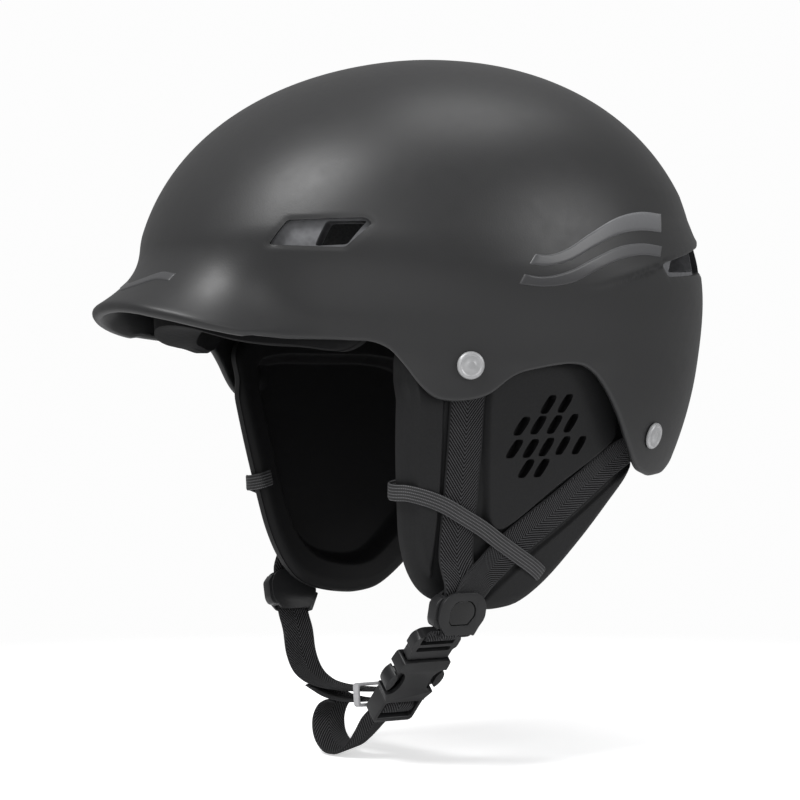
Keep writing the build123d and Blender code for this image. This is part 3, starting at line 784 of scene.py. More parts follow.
def knit(name, colour):
    """Brushed knit fabric."""
    nodes = material_nodes(name)
    colour = np.array(colour)
    stretched = nodes.add("Mapping", {"Scale": (520, 520, 820), "Vector": nodes.coords()})
    stitches = nodes.cells(1.0, stretched)
    height = stitches * 0.6 + nodes.noise(scale=40, detail=5) * 0.5
    return nodes.principled({
        "Base Color": nodes.ramp(height, [(0.25, colour * 0.6), (0.9, colour * 2.2)]),
        "Roughness": 0.9,
        "Sheen Weight": 0.35,
        "Sheen Roughness": 0.5,
        "Normal": nodes.bump(height, strength=0.6, distance=0.0005)})


def silver(name):
    nodes = material_nodes(name)
    fine = nodes.noise(scale=700, detail=4)
    drift = nodes.noise(scale=160, detail=3)
    return nodes.principled({
        "Base Color": nodes.ramp(drift, [(0.3, (0.36, 0.363, 0.37)),
                                         (0.7, (0.46, 0.463, 0.47))]),
        "Metallic": 0.35,
        "Roughness": fine.times_plus(0.2, 0.3),
        "Normal": nodes.bump(fine, strength=0.08, distance=0.0003)})


def badge_ribbon(name):
    """Satin ribbon, lighter towards the top of the badges."""
    nodes = material_nodes(name)
    rise = nodes.map_range(nodes.split(nodes.coords())[2], 0.006, 0.046)
    fine = nodes.noise(scale=1100, detail=2)
    return nodes.principled({
        "Base Color": nodes.ramp(rise + fine.times_plus(0.12, -0.06),
                                 [(0.0, (0.030, 0.030, 0.032)),
                                  (0.6, (0.085, 0.086, 0.090)),
                                  (1.0, (0.165, 0.167, 0.174))]),
        "Roughness": 0.38,
        "Normal": nodes.bump(fine, strength=0.05, distance=0.0002)})


SHELL_MATTE = plastic("shell_matte", (0.0185, 0.0187, 0.0195), roughness=0.44, grain=1400,
                      bump=0.10, specular=0.46, variation=0.05, wear=0.10)
BUCKLE_PLASTIC = plastic("buckle_plastic", (0.011, 0.0111, 0.0118), roughness=0.36,
                         grain=1100, bump=0.08, specular=0.28, variation=0.08, wear=0.30)
WINDOW_GLOSS = plastic("window_gloss", (0.002, 0.002, 0.0023), roughness=0.10, grain=500,
                       bump=0.01, specular=0.35, variation=0.05, wear=0.0)
# both foams get painted shade from their share functions
EAR_FOAM = foam("ear_foam", (0.0095, 0.0096, 0.0102), pad_unshaded_share, cell_scale=900,
                roughness=0.60, bump=0.10, specular=0.22)
FOAM_GREY = foam("foam_grey", (0.17, 0.172, 0.18), liner_unshaded_share, cell_scale=380,
                 roughness=0.85, bump=0.5, specular=0.25)
FABRIC = knit("comfort_fabric", (0.009, 0.009, 0.0098))
WEBBING = webbing("webbing")
ELASTIC = elastic("elastic")
RIVET_SILVER = silver("rivet_silver")
BADGE_GREY = badge_ribbon("badge_grey")
KEEPER_RUBBER = plastic("keeper_rubber", (0.42, 0.42, 0.43), roughness=0.55, grain=900,
                        bump=0.06, specular=0.4, variation=0.08, wear=0.05)


# ------------------------------------------------------------------ shell and liner
def side_cutters(outline, axis, back, ahead):
    """Prism through a side opening, from back inside it to ahead outside, and its mirror."""
    softened = []
    for i, corner in enumerate(outline):
        ends = [corner + (other - corner) * min(0.9 / np.linalg.norm(other - corner), 0.4)
                for other in (outline[i - 1], outline[(i + 1) % len(outline)])]
        softened += corner_arc(ends[0], corner, ends[1], 5)
    points = np.array([dome(np.radians(angle), z)
                       for angle, z in resample(np.array(softened), 90, closed=True)])
    axis = direction(axis)
    centre = points.mean(0)
    flat = points - ((points - centre) @ axis)[:, None] * axis - axis * back
    cutter = prism("cutter", flat, axis * (back + ahead))
    return [cutter, fix_normals(mirrored(cutter))]


def build_shell():
    columns, rows = 480, 170
    phi = np.linspace(0, 2 * np.pi, columns, endpoint=False)
    rim = rim_height(phi)
    z = rising_heights(rim, SHELL_SIZE[3], rows, 0.985)
    phi_grid = np.repeat(phi[:, None], rows, 1)
    outer = shell_point(phi_grid, z)
    normals = face_outward(shell_normal(phi_grid, z), outer, 1)
    # thicker along the brim
    brim = np.cos(np.radians(np.clip(front_angle(phi) / 62 * 90, 0, 90)))[:, None]
    thickness = 3.4 + 2.2 * (brim * np.exp(-np.maximum(z - rim[:, None], 0) / 9.0))
    inner = outer - normals * thickness[..., None]
    # rings run down the outside, round the lip and up the inside
    rings = [outer[:, k] for k in range(rows - 1, 0, -1)]
    middle = (outer[:, 0] + inner[:, 0]) / 2
    half = (outer[:, 0] - inner[:, 0]) / 2
    down = unit(np.cross(np.roll(middle, -1, 0) - np.roll(middle, 1, 0), half))
    down *= -np.sign(down[:, 2])[:, None]
    half_length = np.linalg.norm(half, axis=1, keepdims=True)
    for a in np.linspace(0.0, np.pi, 9):
        rings.append(middle + half * np.cos(a) + down * half_length * np.sin(a) * 0.85)
    rings += [inner[:, k] for k in range(1, rows)]
    tips = [[[0, side[:, -1, 1].mean(), side[:, -1, 2].mean() + 0.03]]
            for side in (outer, inner)]
    shell = capped_rings("helmet_shell", rings, *tips, SHELL_MATTE)
    cut(shell, side_cutters(FRONT_VENT, FRONT_VENT_AXIS, back=16, ahead=12)
        + side_cutters(REAR_VENT, REAR_VENT_AXIS, back=24, ahead=14))
    smooth_by_angle(shell, 38)
    register(shell, "helmet", "outer_shell", "shell_matte")


# Lower edge of the liner: y, z
LINER_RIM = np.array([
    (-160, -2.5), (-137, -5.8), (-125, -12.8), (-115, -15), (-100, -15.8), (-92, -18),
    (-86, -19), (-81, -16), (-76, -4), (-70, 4), (42, 4), (58, -28), (70, -44), (90, -48),
    (135, -47)])
# Rounding of the liner's lower edges: distance in from the side, drop
LINER_LIP = [(0.0, 0.0), (0.6, 0.35), (1.6, 0.8), (3.0, 1.1)]


def liner_rim_height(phi):
    y = dome(phi, np.zeros_like(phi), SHELL_SIZE - 6, 0.0)[..., 1]
    z = np.interp(y, *LINER_RIM.T)
    kernel = np.exp(-0.5 * (np.arange(-8, 9) / 3.0) ** 2)
    kernel /= kernel.sum()
    return np.convolve(np.concatenate([z[-8:], z, z[:8]]), kernel, mode="valid")


def build_liner():
    columns, rows = 300, 80
    phi = np.linspace(0, 2 * np.pi, columns, endpoint=False)
    rim = liner_rim_height(phi)
    phi_grid = np.repeat(phi[:, None], rows, 1)
    outer, inner = (dome(phi_grid, rising_heights(rim, size[3], rows, 0.98), size, 0.0)
                    for size in (LINER_SIZE, CAVITY_SIZE))
    rings = [outer[:, k] for k in range(rows - 1, 0, -1)]
    start, end = outer[:, 0], inner[:, 0]
    inward = end - start
    width = np.linalg.norm(inward, axis=1, keepdims=True)
    inward /= width
    down = np.array([0, 0, -1.0])
    rings += [start + inward * side + down * drop for side, drop in LINER_LIP]
    rings += [start + inward * width * t + down * 1.2 for t in (0.25, 0.5, 0.75)]
    rings += [end - inward * side + down * drop for side, drop in LINER_LIP[::-1]]
    rings += [inner[:, k] for k in range(1, rows)]
    tips = [[[0, side[:, -1, 1].mean(), side[:, -1, 2].mean()]] for side in (outer, inner)]
    liner = capped_rings("foam_liner_body", rings, *tips, FOAM_GREY)
    cut(liner, side_cutters(FRONT_CHANNEL, FRONT_VENT_AXIS, back=60, ahead=10)
        + side_cutters(REAR_CHANNEL, REAR_VENT_AXIS, back=60, ahead=10))
    smooth_by_angle(liner, 40)
    register(liner, "helmet", "foam_liner", "foam_grey")


# ------------------------------------------------------------------ comfort pads
PAD_THICKNESS = 5.6
# Outlines on the cavity wall: degrees from the front, z
BROW_PAD = [(-33, -4.5), (-20, -5), (0, -5), (20, -5), (33, -4.5), (35.5, 8), (33, 21),
            (18, 23), (0, 21), (-18, 23), (-33, 21), (-35.5, 8)]
SIDE_PAD = np.array([(70, 14), (90, 13), (113, 14), (117, 28), (111, 45), (90, 48),
                     (72, 45), (66, 28)])
REAR_PAD = [(147, -27), (165, -28), (180, -28), (195, -28), (213, -27), (218, -8),
            (212, 10), (196, 11), (180, 7), (164, 11), (148, 10), (142, -8)]
# Cross under the crown: x, y
CROWN_PAD = [(-16, -60), (0, -62), (16, -60), (18, -30), (24, -19), (44, -16), (46, 0),
             (44, 16), (24, 19), (18, 30), (16, 60), (0, 62), (-16, 60), (-18, 30),
             (-24, 19), (-44, 16), (-46, 0), (-44, -16), (-24, -19), (-18, -30)]


def on_cavity(degrees, z, offset):
    """Point at an offset inwards from the cavity wall."""
    phi = np.radians(degrees)
    points = dome(phi, z, CAVITY_SIZE - 0.5, 0.0)
    normals = unit(surface_cross(lambda p, h: dome(p, h, CAVITY_SIZE, 0.0),
                                 phi, z, 0.01, 0.5))
    return points - face_outward(normals, points, 0.5) * offset


def under_crown(x, y, offset):
    """Point below the cavity's crown, its height found by bisection."""
    low = np.zeros_like(x)
    high = np.full_like(x, CAVITY_SIZE[3] - 0.6)
    for _ in range(32):
        z = (low + high) / 2
        width, front, back = dome_reaches(z, CAVITY_SIZE)
        reach = np.where(y < 0, front, back)
        inside = (np.abs(x) / width) ** PLAN_POWER + (np.abs(y) / reach) ** PLAN_POWER < 1
        low = np.where(inside, z, low)
        high = np.where(inside, high, z)
    return np.stack([x, y, (low + high) / 2 - 0.4 - offset], -1)


def fabric_patch(outline, place, rings=26):
    """Closed pad with its back on the liner and a swelled front."""
    border = resample(catmull(outline, 8, closed=True), 120, closed=True)
    centre = border.mean(0)
    back_gap, base_share, edge_fill = 0.15, 0.12, 0.75
    front, back = [], []
    for i in range(rings, 0, -1):
        s = i / rings
        x, y = (centre + (border - centre) * s).T
        profile = (1 - s ** 4) ** 0.5
        swell = (edge_fill + (1 - edge_fill) * (1 - s * s)) * profile * 0.88
        front.append(place(x, y, PAD_THICKNESS * (base_share + swell)))
        back.append(place(x, y, back_gap))
    tips = [place(centre[:1], centre[1:], offset) for offset in (back_gap, PAD_THICKNESS)]
    return capped_rings("patch", back[::-1] + front, *tips, FABRIC)


def inflate(obj, limit=1.6, pressure=2.5, frames=12):
    """Short cloth inflation that swells the cover by at most the limit in mm."""
    mesh = obj.data
    rest = coordinates(mesh)
    modifier = obj.modifiers.new("Cloth", "CLOTH")
    cloth = modifier.settings
    cloth.quality = 5
    cloth.mass = 0.2
    cloth.tension_stiffness = 18
    cloth.compression_stiffness = 18
    cloth.shear_stiffness = 8
    cloth.bending_stiffness = 0.4
    cloth.use_pressure = True
    cloth.uniform_pressure_force = pressure
    cloth.effector_weights.gravity = 0
    modifier.point_cache.frame_start = 1
    modifier.point_cache.frame_end = frames
    scene = bpy.context.scene
    for frame in range(1, frames + 1):
        scene.frame_set(frame)
    evaluated = obj.evaluated_get(bpy.context.evaluated_depsgraph_get())
    move = coordinates(evaluated.to_mesh()) - rest
    evaluated.to_mesh_clear()
    obj.modifiers.clear()
    length = np.linalg.norm(move, axis=1, keepdims=True)
    move = move * np.minimum(1, limit * MM / np.maximum(length, 1e-9))
    # points the solver lost stay at rest
    move[~np.isfinite(move).all(1)] = 0
    mesh.vertices.foreach_set("co", (rest + move).ravel())
    mesh.update()
    scene.frame_set(1)


def build_comfort_pads():
    pads = [
        ("brow_pad_cover", "brow_pad", [fabric_patch(BROW_PAD, on_cavity)]),
        ("side_pad_covers", "side_pads",
         [fabric_patch(SIDE_PAD * (side, 1), on_cavity) for side in (1, -1)]),
        ("rear_pad_cover", "rear_pad", [fabric_patch(REAR_PAD, on_cavity)]),
        ("crown_pad_cover", "crown_pad", [fabric_patch(CROWN_PAD, under_crown, rings=40)])]
    for name, part, patches in pads:
        for patch in patches:
            inflate(patch)
        pad = join(name, patches) if len(patches) > 1 else patches[0]
        pad.name = name
        shade_smooth(pad)
        register(pad, "helmet", part, "comfort_fabric")


# ------------------------------------------------------------------ ear pads
# Outlines and paths on the ear pad: y, z
PAD_OUTLINE = [
    (-64.1, -18.9), (-63.6, -30), (-63, -39.3), (-60.5, -60.6), (-57.1, -82.2),
    (-53.2, -101.8), (-47.7, -115), (-41.1, -123.2), (-33.5, -127.6), (-23.5, -130.4),
    (-13.1, -131.8), (-6.2, -131.9), (4.5, -129.9), (17.5, -122), (36.1, -104.8),
    (53.3, -87.4), (66, -74), (68.6, -66), (64, -50), (56, -32), (46, -17), (34, -9.5),
    (10, -6.5), (-20, -6.5), (-46, -8), (-58.5, -11.5)]
MIDDLE_PANEL = catmull([
    (-29.4, -14), (-28.7, -37.2), (-26, -60), (-22.8, -80), (-20.2, -92), (-17, -96.8),
    (-11.5, -97.6), (16.6, -78.8), (48.8, -58.8), (50.4, -55), (44.8, -39.8), (36.5, -30),
    (28, -21), (14, -14)], 6, closed=True)
FRONT_PANEL = catmull([
    (-46.2, -10), (-46, -39.3), (-43.8, -60.7), (-42, -82.4), (-41.2, -104), (-41.6, -117),
    (-46, -112.5), (-51, -101), (-54.8, -82.2), (-58.4, -60.6), (-60.6, -39.3),
    (-61.5, -18), (-56, -12)], 6, closed=True)
INNER_POCKET = catmull([
    (-50, -24), (-48, -60), (-44.5, -86), (-38.5, -104), (-29, -113.5), (-12, -118),
    (0, -117), (10, -111), (27, -95), (44, -78), (52.5, -66), (48, -46), (38, -28),
    (26, -21), (-10, -19.5), (-40, -20)], 6, closed=True)
REAR_STRAP_CHANNEL = [(80.0, -46.0), (58.5, -61.5), (33.5, -77.8), (4.0, -97.5),
                      (-14.0, -112.5), (-34.0, -130.0)]
SLOT_CENTRES = [
    (3, -41.5), (12.5, -41.1), (-9.6, -50.8), (-0.9, -50.4), (8.1, -50.3), (17.6, -49.8),
    (-11.7, -60.7), (-3.1, -60.6), (5.4, -60.1), (14.8, -59.6), (24.6, -59.6),
    (-4, -69.4), (4.4, -69.3)]
SLOT_OUTLINE = [(-3.9, -2.9), (-3.4, -3.9), (-1.9, -4.1), (-0.3, -3.9), (0.9, -2.7),
                (3.9, 2.9), (3.4, 3.9), (1.9, 4.1), (0.3, 3.9), (-0.9, 2.7)]
CHANNEL_FLOOR = -2.3


def pad_outer_offset(y, z, edge):
    """Height of the pad's outer face; edge is the distance inside the outline."""
    middle = polygon_distance(y, z, MIDDLE_PANEL)
    front = polygon_distance(y, z, FRONT_PANEL)
    from_channel = path_distance(y, z, REAR_STRAP_CHANNEL) - 9.2
    height = CHANNEL_FLOOR + 3.5 * (1 - smoothstep(-2.4, 0.1, middle))
    height = np.maximum(height, CHANNEL_FLOOR + 2.5 * (1 - smoothstep(-2.6, 0.1, front)))
    rear = smoothstep(0.0, 2.6, from_channel) * smoothstep(
        -5.0, 5.0, (z + 77.8) * -0.84 + (y - 33.5) * 0.55)
    height = np.maximum(height, CHANNEL_FLOOR + 2.3 * rear)
    # thinner along the top and at the upper front
    top = smoothstep(-27.0, -14.0, z)
    upper_front = smoothstep(-41.0, -29.0, z) * smoothstep(-34.0, -50.0, y)
    return height - 3.5 * np.maximum(top, upper_front) - round_over(edge, 5.0)


def build_ear_pads():
    border = resample(catmull(PAD_OUTLINE, 10, closed=True), 420, closed=True)
    centre = np.array([-2.0, -62.0])
    # ring sizes as a share of the outline, crowded towards the edge, ending at 1
    shares = np.concatenate([np.linspace(0.012, 0.93, 150),
                             1 - 0.07 * np.cos(np.linspace(0, np.pi / 2, 22))[1:]])
    front, back = [], []
    for s in shares:
        y, z = (centre + (border - centre) * s).T
        if s < 1:
            edge = np.maximum(-polygon_distance(y, z, border[::3]), 0)
        else:
            edge = np.zeros(len(border))
        outer = pad_outer_offset(y, z, edge)
        pocket = polygon_distance(y, z, INNER_POCKET[::2])
        inner = -14.0 + round_over(edge, 6.0) + 8.6 * (1 - smoothstep(-4.5, 1.0, pocket))
        inner = np.minimum(inner, outer - 2.2)
        if s == 1:
            middle = (outer + inner) / 2
            outer, inner = middle + 1.6, middle - 1.6
        front.append(on_pad(y, z, outer))
        back.append(on_pad(y, z, inner))
    pad = capped_rings("left_ear_pad_body", back + front[::-1],
                       [back[0].mean(0)], [front[0].mean(0)], EAR_FOAM)
    outline = catmull(SLOT_OUTLINE, 3, closed=True)
    slots = []
    for y, z in SLOT_CENTRES:
        x = np.full(len(outline), pad_x(y, z) - 3.3)
        points = np.stack([x, y + outline[:, 0], z + outline[:, 1]], -1)
        slots.append(prism("slot", points, (60, 0, 0)))
    cut(pad, [join("slots", slots)])
    smooth_by_angle(pad, 50)
    for obj, side, _ in both_sides(pad):
        register(obj, side + "_flap", side + "_ear_pad", "ear_foam")


# ------------------------------------------------------------------ side straps
WEB_LEVEL = -1.15              # offset of the webbing from the pad surface
SIDE_WEB_WIDTH, SIDE_WEB_THICKNESS = 16.6, 1.6
# Paths over the pad: y, z, lift above WEB_LEVEL
FRONT_PATH = [(-37.6, -31, 2.2), (-36.6, -38, 0), (-34.8, -60.8, 0), (-33.6, -80, 0),
              (-32.9, -95, 0.2), (-32.8, -108, 2.2)]
REAR_PATH = [(60.5, -60.2, 6.5), (50, -67, 0.4), (33.5, -77.8, 0), (18, -88.2, 0),
             (4, -97.5, 0), (-8, -106.6, 0.9), (-17, -114.4, 2.8)]
# Elastic round the pad, from its front edge to its rear edge: y, z, offset
ELASTIC_PATH = [
    (-52, -76.6, -15), (-58, -78, -14.6), (-60.6, -79, -9), (-60.3, -79.3, -4.6),
    (-57.8, -79.4, -0.9), (-50, -81.6, 1), (-41.5, -84.9, 1.15), (-33, -89.4, 1),
    (-22, -95.6, 1.55), (-12.6, -101.5, 1.4), (-2, -107.6, 1.2), (8, -113.2, 1),
    (14, -116.9, -0.2), (17.6, -119.6, -3.6), (18, -120.4, -8)]
# Facing of the elastic where it wraps the pad's edges, by index in its path
ELASTIC_WRAP = {0: (-1, 0, 0), 1: (-0.7, -0.7, 0), 2: (0, -1, 0), 3: (0.35, -1, 0),
                4: (1, -0.7, -0.2), 13: (0.3, 0.7, -0.7), 14: (0.3, 0.7, -0.7)}
# Where each strap passes from helmet to flap, in metres on the left: start, end
STRAP_BLENDS = {
    "front_strap": ((0.100, -0.046, -0.0285), (0.0865, -0.0366, -0.0385)),
    "rear_strap": ((0.086, 0.052, -0.0565), (0.0715, 0.047, -0.0690))}


def strap(name, centres, across, width, thickness, material, step=1.0):
    """Webbing with rounded selvedges; width is one value or one per centre."""
    per_span = 14
    line = catmull(centres, per_span)
    across = catmull(across, per_span)
    if np.isscalar(width):
        widths = np.full(len(line), float(width))
    else:
        widths = catmull(np.asarray(width, float)[:, None], per_span)[:, 0]
    lengths = path_lengths(line)
    count = max(int(lengths[-1] / step), 8)
    query = np.linspace(0, lengths[-1], count)
    line = interpolate_rows(query, lengths, line)
    across = interpolate_rows(query, lengths, across)
    widths = np.interp(query, lengths, widths)
    tangent = unit(np.gradient(line, axis=0))
    across = unit(across - (across * tangent).sum(1)[:, None] * tangent, 0)
    normal = np.cross(tangent, across)
    sides = np.linspace(-1, 1, 13)
    profile = np.sqrt(np.maximum(1 - np.abs(sides) ** 9, 0)) * 0.42 + 0.08
    ring = list(zip(sides, profile)) + list(zip(sides[::-1], -profile[::-1]))
    points, uv = [], []
    for i in range(count):
        for a, b in ring:
            points.append(line[i] + across[i] * (a * widths[i] / 2)
                          + normal[i] * (b * thickness))
            uv.append(((a + 1) / 2, query[i] / widths[i]))
    size = len(ring)
    faces = grid_faces(count, size)
    faces += [tuple(range(size)), tuple(reversed(range((count - 1) * size, count * size)))]
    return solid(name, np.array(points), faces, material, uv=np.array(uv))


def rivet_place(degrees, z):
    """Point on the shell and its normal on the left side."""
    phi, z = np.radians(np.array([degrees])), np.array([z])
    normal = shell_normal(phi, z)[0]
    return shell_point(phi, z)[0], -normal if normal[0] < 0 else normal


def rivet_tab(rivet, target, reach):
    """Upper and lower end of the webbing under a rivet, and its width direction."""
    point, normal = rivet_place(*rivet)
    toward = direction(target - point)
    toward = direction(toward - (toward @ normal) * normal)
    centre = point - normal * 5.2
    return centre - toward * 7.0, centre + toward * reach, np.cross(normal, toward)


def pad_tangent(y):
    """Direction to the rear along the pad surface."""
    return direction((-2 * PAD_BOW * (y + PAD_SHIFT), 1.0, 0.0))


def rear_across(y):
    """Width direction of the rear strap on the pad."""
    y_part, z_part = 0.56, -0.83
    bow = -2 * PAD_BOW * (y + PAD_SHIFT) * y_part
    return direction([bow + PAD_LEAN * z_part, y_part, z_part])


def build_front_strap():
    upper, lower, across = rivet_tab(RIVETS[0], on_pad(-36.6, -38.0, WEB_LEVEL), 6.5)
    if across[1] < 0:
        across = -across
    centres = [upper, lower, *(on_pad(y, z, WEB_LEVEL + lift) for y, z, lift in FRONT_PATH),
               DIVIDER.at(0, -10.5, -0.9), DIVIDER.at(0, -4, -0.8), DIVIDER.at(0, 1, -0.8)]
    directions = [across, across, direction(across + pad_tangent(-37) * 1.5)]
    # y on the pad, twist towards +Z
    for y, twist in ((-36.6, 0.03), (-34.8, 0.07), (-33.6, 0.05), (-32.8, 0), (-32.8, 0)):
        directions.append(pad_tangent(y) + np.array([0, 0, twist]))
    directions += [Y_AXIS] * 3
    return strap("left_front_webbing", centres, directions, SIDE_WEB_WIDTH,
                 SIDE_WEB_THICKNESS, WEBBING)


def build_rear_strap():
    upper, lower, across = rivet_tab(RIVETS[1], on_pad(57.5, -62.2, 0), 6.0)
    if across @ rear_across(57) < 0:
        across = -across
    centres = [upper, lower, *(on_pad(y, z, WEB_LEVEL + lift) for y, z, lift in REAR_PATH),
               DIVIDER.at(4, -9, 1.2), DIVIDER.at(1, -3, 1.25)]
    directions = [across, across, direction(across + rear_across(57)),
                  *(rear_across(y) for y in (50, 33, 18, 4, -8, -17)),
                  direction((0, 0.80, -0.42)), direction((0, 0.93, -0.25))]
    widths = [SIDE_WEB_WIDTH] * 8 + [16.0, 13.5, 12.0]
    return strap("left_rear_webbing", centres, directions, widths, SIDE_WEB_THICKNESS,
                 WEBBING)


def build_elastic():
    centres = np.array([on_pad(*place) for place in ELASTIC_PATH])
    directions = []
    for i, (point, along) in enumerate(zip(centres, np.gradient(centres, axis=0))):
        bow = 2 * PAD_BOW * (point[1] + PAD_SHIFT)
        facing = direction(ELASTIC_WRAP.get(i, (1.0, bow, -PAD_LEAN)))
        across = direction(np.cross(along, facing))
        if directions and across @ directions[-1] < 0:
            across = -across
        directions.append(across)
    return strap("left_elastic_band", centres, directions, 7.2, 1.1, ELASTIC, step=0.8)


def build_side_straps():
    straps = [(build_front_strap(), "front_strap", "webbing"),
              (build_rear_strap(), "rear_strap", "webbing"),
              (build_elastic(), "elastic", "elastic")]
    for left, part, slot in straps:
        for obj, side, sign in both_sides(left):
            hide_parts(side + "_" + part)
            if part == "elastic":
                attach(obj, side + "_flap")
            else:
                start, end = ((sign * x, y, z) for x, y, z in STRAP_BLENDS[part])
                side + "_flap"
                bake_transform(obj)
                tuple(start)
                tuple(end)


# ------------------------------------------------------------------ rivets
# Turned profiles: radius, height above the shell
RIVET_PROFILE = [
    (0.02, -8.8), (3.2, -8.8), (3.6, -8.5), (3.6, -8.1), (2.4, -8.05), (2.4, 0.2),
    (5.7, 0.2), (6, 0.45), (6, 1), (5.85, 1.45), (5.4, 1.85), (4.9, 2), (4.55, 1.92),
    (4.3, 1.72), (4, 1.66), (2.2, 1.78), (1.9, 1.95), (1.5, 2.02), (0.8, 2.06),
    (0.02, 2.08)]
WASHER_PROFILE = [(2.46, -6.9), (5.3, -6.9), (5.5, -7.1), (5.5, -7.8), (5.3, -8),
                  (2.46, -8)]


def build_rivets():
    heads, washers = [], []
    for rivet in RIVETS:
        point, normal = rivet_place(*rivet)
        head = lathe(point, normal, RIVET_PROFILE, RIVET_SILVER)
        washer = lathe(point, normal, WASHER_PROFILE, BUCKLE_PLASTIC)
        heads += [head, mirrored(head)]
        washers += [washer, mirrored(washer)]
    heads = join("strap_rivet_heads", heads)
    washers = join("rivet_inside_washers", washers)
    smooth_by_angle(heads, 40)
    smooth_by_angle(washers, 30)
    register(heads, "helmet", "strap_rivets", "rivet_plastic")
    register(washers, "helmet", "rivet_washers", "rivet_plastic")


# ------------------------------------------------------------------ badges
# Lower and upper edges of the two side ribbons: y, z
SIDE_BADGES = [
    ([(-26, 9.8), (-14, 8.8), (0, 10.6), (14, 16.6), (28, 21.6), (42, 23.6), (54, 23.2)],
     [(-24, 14), (-14, 13.2), (-2, 15.8), (12, 21.8), (27, 27), (42, 28.8), (56, 28)]),
    ([(-22, 18.2), (-13, 17.6), (-2, 20), (12, 26.4), (27, 32.2), (42, 34.4), (57, 34.2)],
     [(-19, 22.6), (-12, 22.4), (-3, 25.2), (10, 32.2), (26, 39.4), (42, 42.6),
      (60, 42.6)])]
# Lower and upper edge of the front ribbon: x, z
FRONT_BADGE = ([(-20, 9), (-11, 7.7), (0, 9.6), (10, 12), (20, 11.3)],
               [(-20, 12.6), (-11, 11.2), (0, 13.2), (10, 15.6), (20, 14.6)])


def shell_patch(axis, low_phi, high_phi, facing):
    """Function placing (x or y, z, height) on the shell.

    axis is the coordinate given, x 0 or y 1; facing is the sign of the normal's other one.
    """
    def place(value, z, height):
        low = np.full(np.shape(value), low_phi)
        high = np.full(np.shape(value), high_phi)
        for _ in range(40):
            phi = (low + high) / 2
            beyond = dome(phi, z)[..., axis] > value
            high = np.where(beyond, phi, high)
            low = np.where(beyond, low, phi)
        phi = (low + high) / 2
        normal = shell_normal(phi, z)
        other = 1 - axis
        normal = normal * (facing * np.sign(normal[:, other:other + 1]))
        return shell_point(phi, z) + normal * height[:, None]
    return place


def ribbon(name, edges, place, columns=90, rows=14, thickness=0.5):
    """Thin raised ribbon between two edge curves."""
    lower, upper = (resample(catmull(edge, 10), columns) for edge in edges)
    index = np.arange(columns)
    end_fade = np.minimum(index, index[::-1]) / 3.0
    top, bottom = [], []
    for j in range(rows):
        s = j / (rows - 1)
        value, z = (lower * (1 - s) + upper * s).T
        side_fade = min(min(s, 1 - s) * 8, 1.0)
        fade = np.clip(np.minimum(side_fade, end_fade), 0, 1)
        top.append(place(value, z, thickness * np.sqrt(fade) + 0.02))
        bottom.append(place(value, z, np.full(columns, -0.35)))
    rings = top + bottom[::-1]
    count = len(rings)
    last = (count - 1) * columns
    faces = grid_faces(count, columns, wrap=False)
    faces += [(last + j, last + j + 1, j + 1, j) for j in range(columns - 1)]
    faces += [tuple(i * columns for i in range(count)),
              tuple(i * columns + columns - 1 for i in range(count - 1, -1, -1))]
    return solid(name, np.array(rings).reshape(-1, 3), faces, BADGE_GREY)


def build_badges():
    side_patch = shell_patch(1, np.radians(30.0), np.radians(160.0), facing=1)
    ribbons = [ribbon("ribbon", edges, side_patch) for edges in SIDE_BADGES]
    sides = join("side_wave_badges", ribbons + [mirrored(obj) for obj in ribbons])
    shade_smooth(sides)
    register(sides, "helmet", "side_badges", "badge_grey")
    front = ribbon("front_wave_badge", FRONT_BADGE, shell_patch(0, -0.9, 0.9, facing=-1),
                   columns=60, rows=8, thickness=0.4)
    register(front, "helmet", "front_badge", "badge_grey")


# ------------------------------------------------------------------ dividers
def build_dividers():
    width, length, depth = 12.0, 9.5, 3.7  # half sizes
    outline = round_polygon(
        [(-width, -length + 5), (-width + 4.5, -length), (width - 4.5, -length),
         (width, -length + 5), (width, 2.4), (width - 4.8, length),
         (-width + 4.8, length), (-width, 3.4)], [4, 4, 4, 4, 2, 1.4, 1.4, 2], 6)
    window = round_polygon(
        [(-6.6, -2.4), (-3.8, -5.9), (3.8, -5.9), (6.6, -2.4), (6.6, 1.2), (3.4, 5.2),
         (-5.2, 5.2), (-6.6, 3.6)], [2.4, 2.4, 2.4, 2.4, 1.2, 0.8, 0.8, 0.8])
    body = plate(DIVIDER, outline, -depth, depth, BUCKLE_PLASTIC)
    web_slot = plate(DIVIDER, rectangle(-8.9, 8.9, 12), -2.25, 2.25)
    recess = plate(DIVIDER, window, depth - 1.05, depth + 2)
    cut(body, [web_slot, recess])
    bevel(body, 0.55, angle=32)
    # wing along the front edge, lip at the lower rear corner
    wing = plate(
        DIVIDER._replace(origin=DIVIDER.at(0, 0, -0.4)),
        round_polygon([(-width - 1.6, -4.2), (-width + 1.4, -7.4), (-width + 2.6, -7),
                       (-width + 2.6, 7), (-width - 0.4, 6.2), (-width - 1.6, 3.6)], 1.2, 4),
        -depth + 0.6, depth - 1.4, BUCKLE_PLASTIC, edge=0.6)
    lip = plate(
        DIVIDER._replace(origin=DIVIDER.at(0, 0, -0.2)),
        round_polygon([(width - 0.9, 1.8), (width + 1.3, 2.6), (width - 3.4, length + 1.6),
                       (width - 5.6, length + 0.6)], 0.8, 4),
        -depth + 0.8, depth - 1.8, BUCKLE_PLASTIC, edge=0.5)
    divider = join("left_divider_body", [body, wing, lip], sharp_angle=40)
    gloss = plate(DIVIDER, window * 0.965, depth - 1.0, depth - 0.42, WINDOW_GLOSS,
                  edge=0.25, name="left_divider_gloss")
    bodies = {"left": "buckle_male", "right": "chin_link"}
    for left, part, slot in ((divider, "divider", "buckle_plastic"),
                             (gloss, "divider_window", "window_gloss")):
        for obj, side, _ in both_sides(left):
            register(obj, bodies[side], side + "_" + part, slot)


